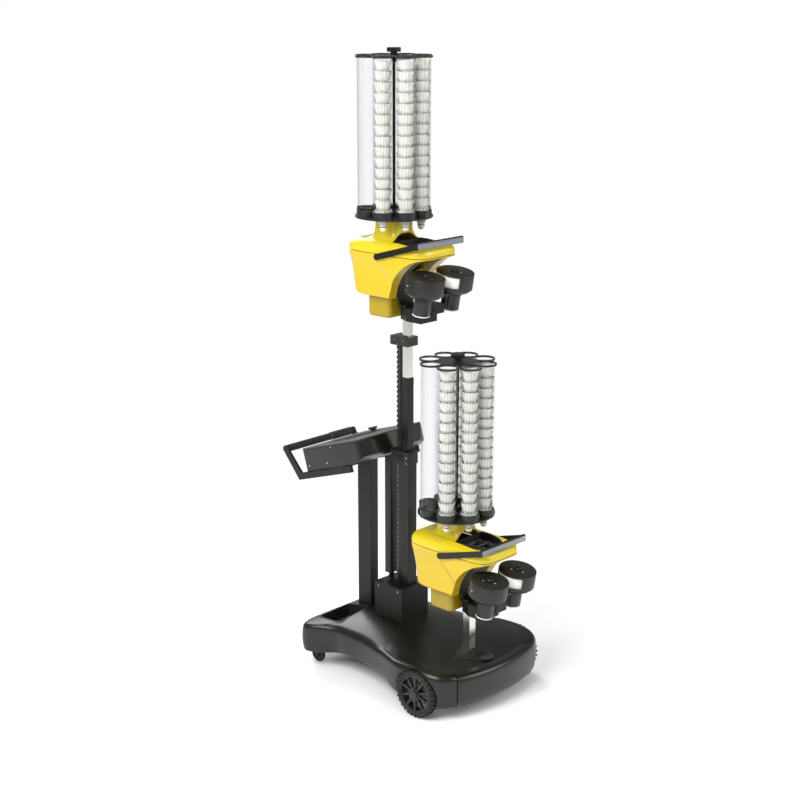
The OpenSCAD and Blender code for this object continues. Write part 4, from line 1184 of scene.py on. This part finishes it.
def shell_rings(inset, top, height):
    """Lower housing's outside, drawn in by inset, from its floor up to the seam."""
    low_front = inset - 140
    half = HALF_W - inset
    rear = REAR - inset
    low = -DROP + inset
    rings = [
        housing_ring(half - 16, low_front, rear - 52, 7, low),
        housing_ring(half - 8, low_front, rear - 43, 7, low + 4),
        housing_ring(half - 4, low_front, rear - 38, 7, low + 14),
        housing_ring(half - 4.3, low_front - 2, rear - 33, 6.6, -260),
        housing_ring(half - 5, low_front - 6, rear - 22, 6, -212),
        housing_ring(half - 3, low_front - 18, rear - 12, 5.8, -178),
        cover_ring(inset + 0.4, -SEAM - 16),
        cover_ring(inset, -SEAM - 6),
    ]
    if inset == 0:
        rings += [cover_ring(0, top - 1.6), cover_ring(1.2, top), cover_ring(WALL, top)]
    else:
        rings += [cover_ring(inset, top)]
    rings = soften(np.stack(rings), 2)
    if height:
        rings = np.stack([side_relief(ring, height) for ring in rings])
    return rings


def crosswise(radius, y, z, steps):
    """Cylinder that lies across a head, 400 mm long."""
    rod = turned([(radius, 0), (radius, 400)], steps)
    return moved(lying(moved(rod, (0, 0, -200))), (0, y, z))


def feed_form():
    """Block that cuts the feed's hole through the roof of the arch."""
    y, w, d = FEED_HOLE
    return moved(prism(outline(w, d, 2), -220, -120), (0, y, 0))


def head_shell_shape(gap, height):
    """Lower housing of a head: hollow, with the arch, the bail's pin holes, the feed's hole and a slot in
    its floor."""
    outer = loft(shell_rings(0, -SEAM - gap, height))
    inner = loft(shell_rings(WALL, 1 - SEAM, height))
    return carved(outer, [
        carved(inner, [crosswise(ARCH_R + WALL, ARCH_Y, PIVOT_Z, 96)]),
        crosswise(ARCH_R, ARCH_Y, PIVOT_Z, 96),
        crosswise(6, *BAIL_PIVOT, 32),
        feed_form(),
        moved(prism(outline(76, 16, 2), -DROP - 1, -DROP + 10), (0, 10, 0))])


def arch_shade_sheet_shape():
    """Thin black sheet in the arch between the yellow strips, open over the feed: painted shade for the
    arch's dark depth.
    """
    t = np.radians(np.linspace(7.7, 80, 40))
    section = ((-70, ARCH_R - 0.1), (70, ARCH_R - 0.1), (70, ARCH_R - 1.6), (-70, ARCH_R - 1.6))
    rings = np.stack([
        np.stack([np.full(len(t), x), ARCH_Y + r * np.cos(t), PIVOT_Z + r * np.sin(t)], axis=1)
        for x, r in section], axis=1)
    return carved(loft(rings), [feed_form()])


def bail_face_shape():
    """Flat face plate of the bail's front bar."""
    plate = moved(swung(pillow(BAIL_W - 3, 22.5, 1.0, 1.0, 0.4), "x", 90), (0, -5.5, 0))
    return moved(swung(plate, "x", BAIL_TURN), (0, *BAIL_BAR))


class MACHINE_OT_heads(bpy.types.Operator):
    """Builds the yellow housings of both heads and finishes what they hold"""

    bl_idname = "machine.heads"
    bl_label = "Heads"

    def execute(self, context):
        sizes = context.scene.machine_sizes
        gap = sizes.seam / MM / 2
        cover = head_cover_shape(gap)
        shell = head_shell_shape(gap, sizes.relief / MM)
        tray = recess_tray_shape()
        shade_sheet = arch_shade_sheet_shape()
        face = bail_face_shape()
        for head in HEADS:
            at = HEAD_AT[head]
            body = head + "_head"
            made = piece(head + "_cover_moulding", moved(cover, at), "yellow", body, 40)
            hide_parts(head + "_cover")
            made = piece(head + "_shell_moulding", moved(shell, at), "amber", body, 40)
            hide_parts(head + "_shell")
            piece(head + "_recess_wall", moved(tray, at), "black_plastic", body, 40, "dark_inside")
            # A black sheet in the arch: painted shade for the arch's dark depth.
            piece(head + "_arch_liner", moved(shade_sheet, at), "black_plastic", body, 40, "dark_inside")
            bail = BODY_OF[head + "_bail"]
            piece(head + "_bail_face", moved(face, at), "bail_grey", bail, 40, "bail_face")
            # The gear cover gets the amber with painted shade darkened into it.
            dressed(head + "_gear_cover", edge=1.6, finish="amber_in_painted_shade")
            for node, edge in (("_frame", 1.6), ("_feed_arm", 1.0), ("_bail", 1.4)):
                dressed(head + node, edge=edge)
        return {"FINISHED"}


# Carousels

def at_tubes(shape, first=0, count=TUBE_COUNT):
    """The shape repeated on the tubes' places."""
    placed = []
    for i in range(first, first + count):
        angle = math.radians(FIRST_TUBE + i * 360 / TUBE_COUNT)
        spot = (TUBE_CIRCLE * math.cos(angle), CAROUSEL_Y + TUBE_CIRCLE * math.sin(angle), 0)
        placed.append(moved(swung(shape, "z", math.degrees(angle)), spot))
    return joined(placed)


def sheet_tube(radius, low, high, steps=72):
    """Open tube as one thin sheet: a turned line without its two ends."""
    heights = np.linspace(low, high, 7)
    points, faces = turned([(radius, z) for z in heights], steps)
    return points[:-2], faces[:(len(heights) - 1) * steps]


class MACHINE_OT_carousels(bpy.types.Operator):
    """Builds the clear tubes and finishes the discs, rings and knobs"""

    bl_idname = "machine.carousels"
    bl_label = "Carousels"

    def execute(self, context):
        bore, top = TUBE_R - TUBE_WALL, TUBE_LOW + TUBE_LEN
        tube = sheet_tube(TUBE_R - TUBE_WALL / 2, TUBE_LOW + 1, top - 1)
        lip = turned([(bore, top - 3), (TUBE_R, top - 3), (TUBE_R, top), (bore, top)], 72, closed=True)
        for head in HEADS:
            body = head + "_carousel"
            for kind, first, count in (("full", 0, FILLED), ("empty", FILLED, TUBE_COUNT - FILLED)):
                shape = moved(at_tubes(joined([tube, lip]), first, count), HEAD_AT[head])
                made = piece(f"{head}_{kind}_clear_tubes", shape, "clear_tube", body, 40)
                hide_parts(f"{head}_{kind}_tubes")
            for node, edge in (("_turntable", 1.0), ("_shaft", 0.8), ("_ring_plate", 1.0)):
                dressed(head + node, edge=edge)
        return {"FINISHED"}


# Shuttles

def cork_shape(steps, rings):
    """Cork: a half ball with a straight collar above it."""
    t = np.radians(np.linspace(0, 90, rings + 1)[1:])
    profile = [(CORK_R * math.sin(a), CORK_R * (1 - math.cos(a))) for a in t]
    return turned(profile + [(CORK_R, 25.2), (12.6, 26)], steps)


def feather_shape(count, overlap):
    """Skirt of separate vanes. A vane's width is its share of the skirt times the overlap, narrowing
    to a shaft below and a rounded tip above; one edge stands out and the other in, as in a fan."""
    reach = TUBE_R - TUBE_WALL - 2.4
    heights = np.array([25, 46, 62, 79.5, 84.2])
    widths = np.array([0.9, 0.9, 1.0, 1.0, 0.58])
    radius = np.interp(heights, (25, 46, SHUTTLE_LEN), (12.8, 24, reach))
    half = math.pi / count * overlap * widths
    stagger = np.array([0.2, 0.5, 0.8, 0.9, 0.6])
    out, back = radius + stagger, radius - stagger
    left = np.stack([out * np.cos(-half), out * np.sin(-half), heights], axis=1)
    right = np.stack([back * np.cos(half), back * np.sin(half), heights], axis=1)
    vane = np.concatenate([left, right, [[reach, 0, SHUTTLE_LEN]]])
    rows = len(heights)
    faces = [[i, rows + i, rows + i + 1, i + 1] for i in range(rows - 1)]
    faces.append([rows - 1, 2 * rows - 1, 2 * rows])
    across = np.concatenate([np.zeros(rows), np.ones(rows), [0.5]])
    along = np.concatenate([heights, heights, [SHUTTLE_LEN]]) / SHUTTLE_LEN
    vanes = [swung((vane, faces), "z", 360 * i / count) for i in range(count)]
    return joined(vanes), np.tile(np.stack([across, along], axis=1), (count, 1))


class MACHINE_OT_shuttles(bpy.types.Operator):
    """Builds the shuttles in their tubes, feather by feather"""

    bl_idname = "machine.shuttles"
    bl_label = "Shuttles"

    def execute(self, context):
        sizes = context.scene.machine_sizes
        skirt, chart = feather_shape(sizes.feathers, sizes.overlap)
        plain_cork = cork_shape(10, 2)
        full_cork = cork_shape(24, 6)
        band = turned([(13.4, 18.4), (13.9, 18.6), (13.9, 21.6), (13.4, 21.8)], 24, closed=True)
        lifts = [i * SHUTTLE_PITCH + SHUTTLE_LOW for i in range(SHUTTLES_EACH)]
        column = joined([
            moved(swung(skirt, "z", SHUTTLE_TURN * i), (0, 0, z)) for i, z in enumerate(lifts)])
        corks = joined([moved(plain_cork if i else full_cork, (0, 0, z)) for i, z in enumerate(lifts)])
        for head in HEADS:
            at, body = HEAD_AT[head], head + "_carousel"
            made = piece(head + "_feathers", moved(at_tubes(column, 0, FILLED), at), "feather", body, 50)
            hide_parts(head + "_shuttles")
            self.add_chart(made.data, np.tile(chart, (SHUTTLES_EACH * FILLED, 1)))
            piece(head + "_corks", moved(at_tubes(corks, 0, FILLED), at), "feather", body, 40, "cork")
            rings = moved(at_tubes(moved(band, (0, 0, lifts[0])), 0, FILLED), at)
            piece(head + "_cork_bands", rings, "feather", body, 40, "band")
        return {"FINISHED"}

    def add_chart(self, mesh, chart):
        """Writes how far across and along its vane each point lies into the mesh's own map."""
        layer = mesh.uv_layers.new(name="vane")
        corner = np.empty(len(mesh.loops), int)
        mesh.loops.foreach_get("vertex_index", corner)
        layer.data.foreach_set("uv", chart[corner].astype(np.float32).ravel())


# Launchers

def leaned(shape):
    """From the launcher's upright frame into the head's frame, about the tilt pivot."""
    return swung(moved(shape, (0, PIVOT_Y, PIVOT_Z)), "x", LEAN, (0, PIVOT_Y, PIVOT_Z))


def guard_shape(side):
    """Cap, wall and tapered floor of one guard, its wall open where the shuttle passes, over the motor."""
    cup = turned([
        (5, DRUM_LOW), (GUARD_R - 12, DRUM_LOW), (GUARD_R, DRUM_LOW + 12), (GUARD_R, DRUM_HIGH - 2),
        (GUARD_R - 0.6, DRUM_HIGH - 0.6), (GUARD_R - 2, DRUM_HIGH), (5, DRUM_HIGH), (5, DRUM_HIGH - 4.5),
        (GUARD_R - 3.5, DRUM_HIGH - 4.5), (GUARD_R - 3.5, DRUM_LOW + 11), (GUARD_R - 13, DRUM_LOW + 4),
        (5, DRUM_LOW + 4)], 96, closed=True)
    start = 180 - OPENING_EDGE if side > 0 else OPENING_EDGE - OPENING
    fan = np.radians(start + np.linspace(0, OPENING, 24))
    flat = np.concatenate([np.zeros((1, 2)), 90 * np.stack([np.cos(fan), np.sin(fan)], axis=1)])
    cup = carved(cup, [prism(flat, DRUM_LOW + 25, DRUM_HIGH - 6)])
    motor = turned([
        (MOTOR_R - 2, -16), (MOTOR_R - 0.5, -15.4), (MOTOR_R, -14), (MOTOR_R, DRUM_LOW + 1)], 72)
    foot = turned([(26, FOOT_Z + 0.6), (27, FOOT_Z + 1), (27, FOOT_Z + 5)], 48)
    knob = moved(screw(KNOB_R, 9), (0, 0, DRUM_HIGH))
    shaft = turned([(5, DRUM_LOW), (5, DRUM_HIGH)], 24)
    return moved(joined([cup, motor, foot, knob, shaft]), (side * ROLLER_X, 0, 0))


def guard_trim(side):
    """White ring at the motor's foot, and four small screws: one in the guard's wall, three on its cap."""
    ring = turned([
        (27, FOOT_Z), (FOOT_R - 0.5, FOOT_Z), (FOOT_R, FOOT_Z + 0.5), (FOOT_R, FOOT_Z + 3.8),
        (27, FOOT_Z + 3.8)], 72, closed=True)
    pin = moved(lying(screw(3.4, 1.4)), (GUARD_R - 0.2, 0, 100))
    pins = [swung(pin, "z", 161)]
    pins += [swung(moved(screw(3.2, 1.6), (27, 0, DRUM_HIGH)), "z", angle) for angle in (30, 150, 270)]
    return moved(ring, (side * ROLLER_X, 0, 0)), moved(joined(pins), (side * ROLLER_X, 0, 0))


class MACHINE_OT_launchers(bpy.types.Operator):
    """Builds the foam rollers and their guards, and finishes the carriers"""

    bl_idname = "machine.launchers"
    bl_label = "Launchers"

    def execute(self, context):
        foot, top = DRUM_LOW + 9, DRUM_LOW + 67
        foam = turned([
            (16, foot - 4), (16, foot), (ROLLER_R - 3, foot), (ROLLER_R - 0.6, foot + 1),
            (ROLLER_R, foot + 3), (ROLLER_R, top - 3), (ROLLER_R - 0.6, top - 1), (ROLLER_R - 3, top),
            (16, top), (16, top + 1.5), (5.3, top + 1.5), (5.3, foot - 4)], 96, closed=True)
        guards = joined([guard_shape(side) for side, _ in SIDES])
        trims = [guard_trim(side) for side, _ in SIDES]
        rings = joined([ring for ring, _ in trims])
        pins = joined([pin for _, pin in trims])
        for head in HEADS:
            at = HEAD_AT[head]
            dressed(head + "_carrier", edge=1.4)
            body = BODY_OF[head + "_guards"]
            made = piece(head + "_guard_mouldings", moved(leaned(guards), at), "black_plastic", body, 35)
            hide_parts(head + "_guards")
            piece(head + "_motor_rings", moved(leaned(rings), at), "black_plastic", body, 40, "white_ring")
            piece(head + "_guard_screws", moved(leaned(pins), at), "steel", body, 40, "bright_screw")
            for side, name in SIDES:
                shape = moved(leaned(moved(foam, (side * ROLLER_X, 0, 0))), at)
                roller = f"{head}_roller_{name}"
                made = piece(roller + "_foam", shape, "foam", BODY_OF[roller], 50)
                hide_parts(roller)
        return {"FINISHED"}


OPERATORS = (
    MACHINE_OT_stage, MACHINE_OT_base, MACHINE_OT_wheels, MACHINE_OT_mast, MACHINE_OT_console,
    MACHINE_OT_heads, MACHINE_OT_carousels, MACHINE_OT_shuttles, MACHINE_OT_launchers)
GROUPS = {"machine_sizes": MachineSizes, "machine_colours": MachineColours, "machine_stage": MachineStage}


class MACHINE_PT_sidebar(bpy.types.Panel):
    """Sizes, colours and the pieces in the order in which they are made"""

    bl_idname = "MACHINE_PT_sidebar"
    bl_label = "Serving machine"
    bl_space_type = "VIEW_3D"
    bl_region_type = "UI"
    bl_category = "Serving Machine"

    def draw(self, context):
        for group in GROUPS:
            box = self.layout.box()
            settings = getattr(context.scene, group)
            for name in settings.__annotations__:
                box.prop(settings, name)
        for operator in OPERATORS:
            self.layout.operator(operator.bl_idname)


def register():
    for cls in (*GROUPS.values(), *OPERATORS, MACHINE_PT_sidebar):
        bpy.utils.register_class(cls)
    for name, cls in GROUPS.items():
        setattr(bpy.types.Scene, name, bpy.props.PointerProperty(type=cls))


def unregister():
    for name in GROUPS:
        delattr(bpy.types.Scene, name)
    for cls in (MACHINE_PT_sidebar, *reversed(OPERATORS), *GROUPS.values()):
        bpy.utils.unregister_class(cls)


def main():
    """Makes every piece in order."""
    register()
    make_finishes()
    for operator in OPERATORS:
        group, name = operator.bl_idname.split(".")
        getattr(getattr(bpy.ops, group), name)()


if __name__ == "__main__":
    main()
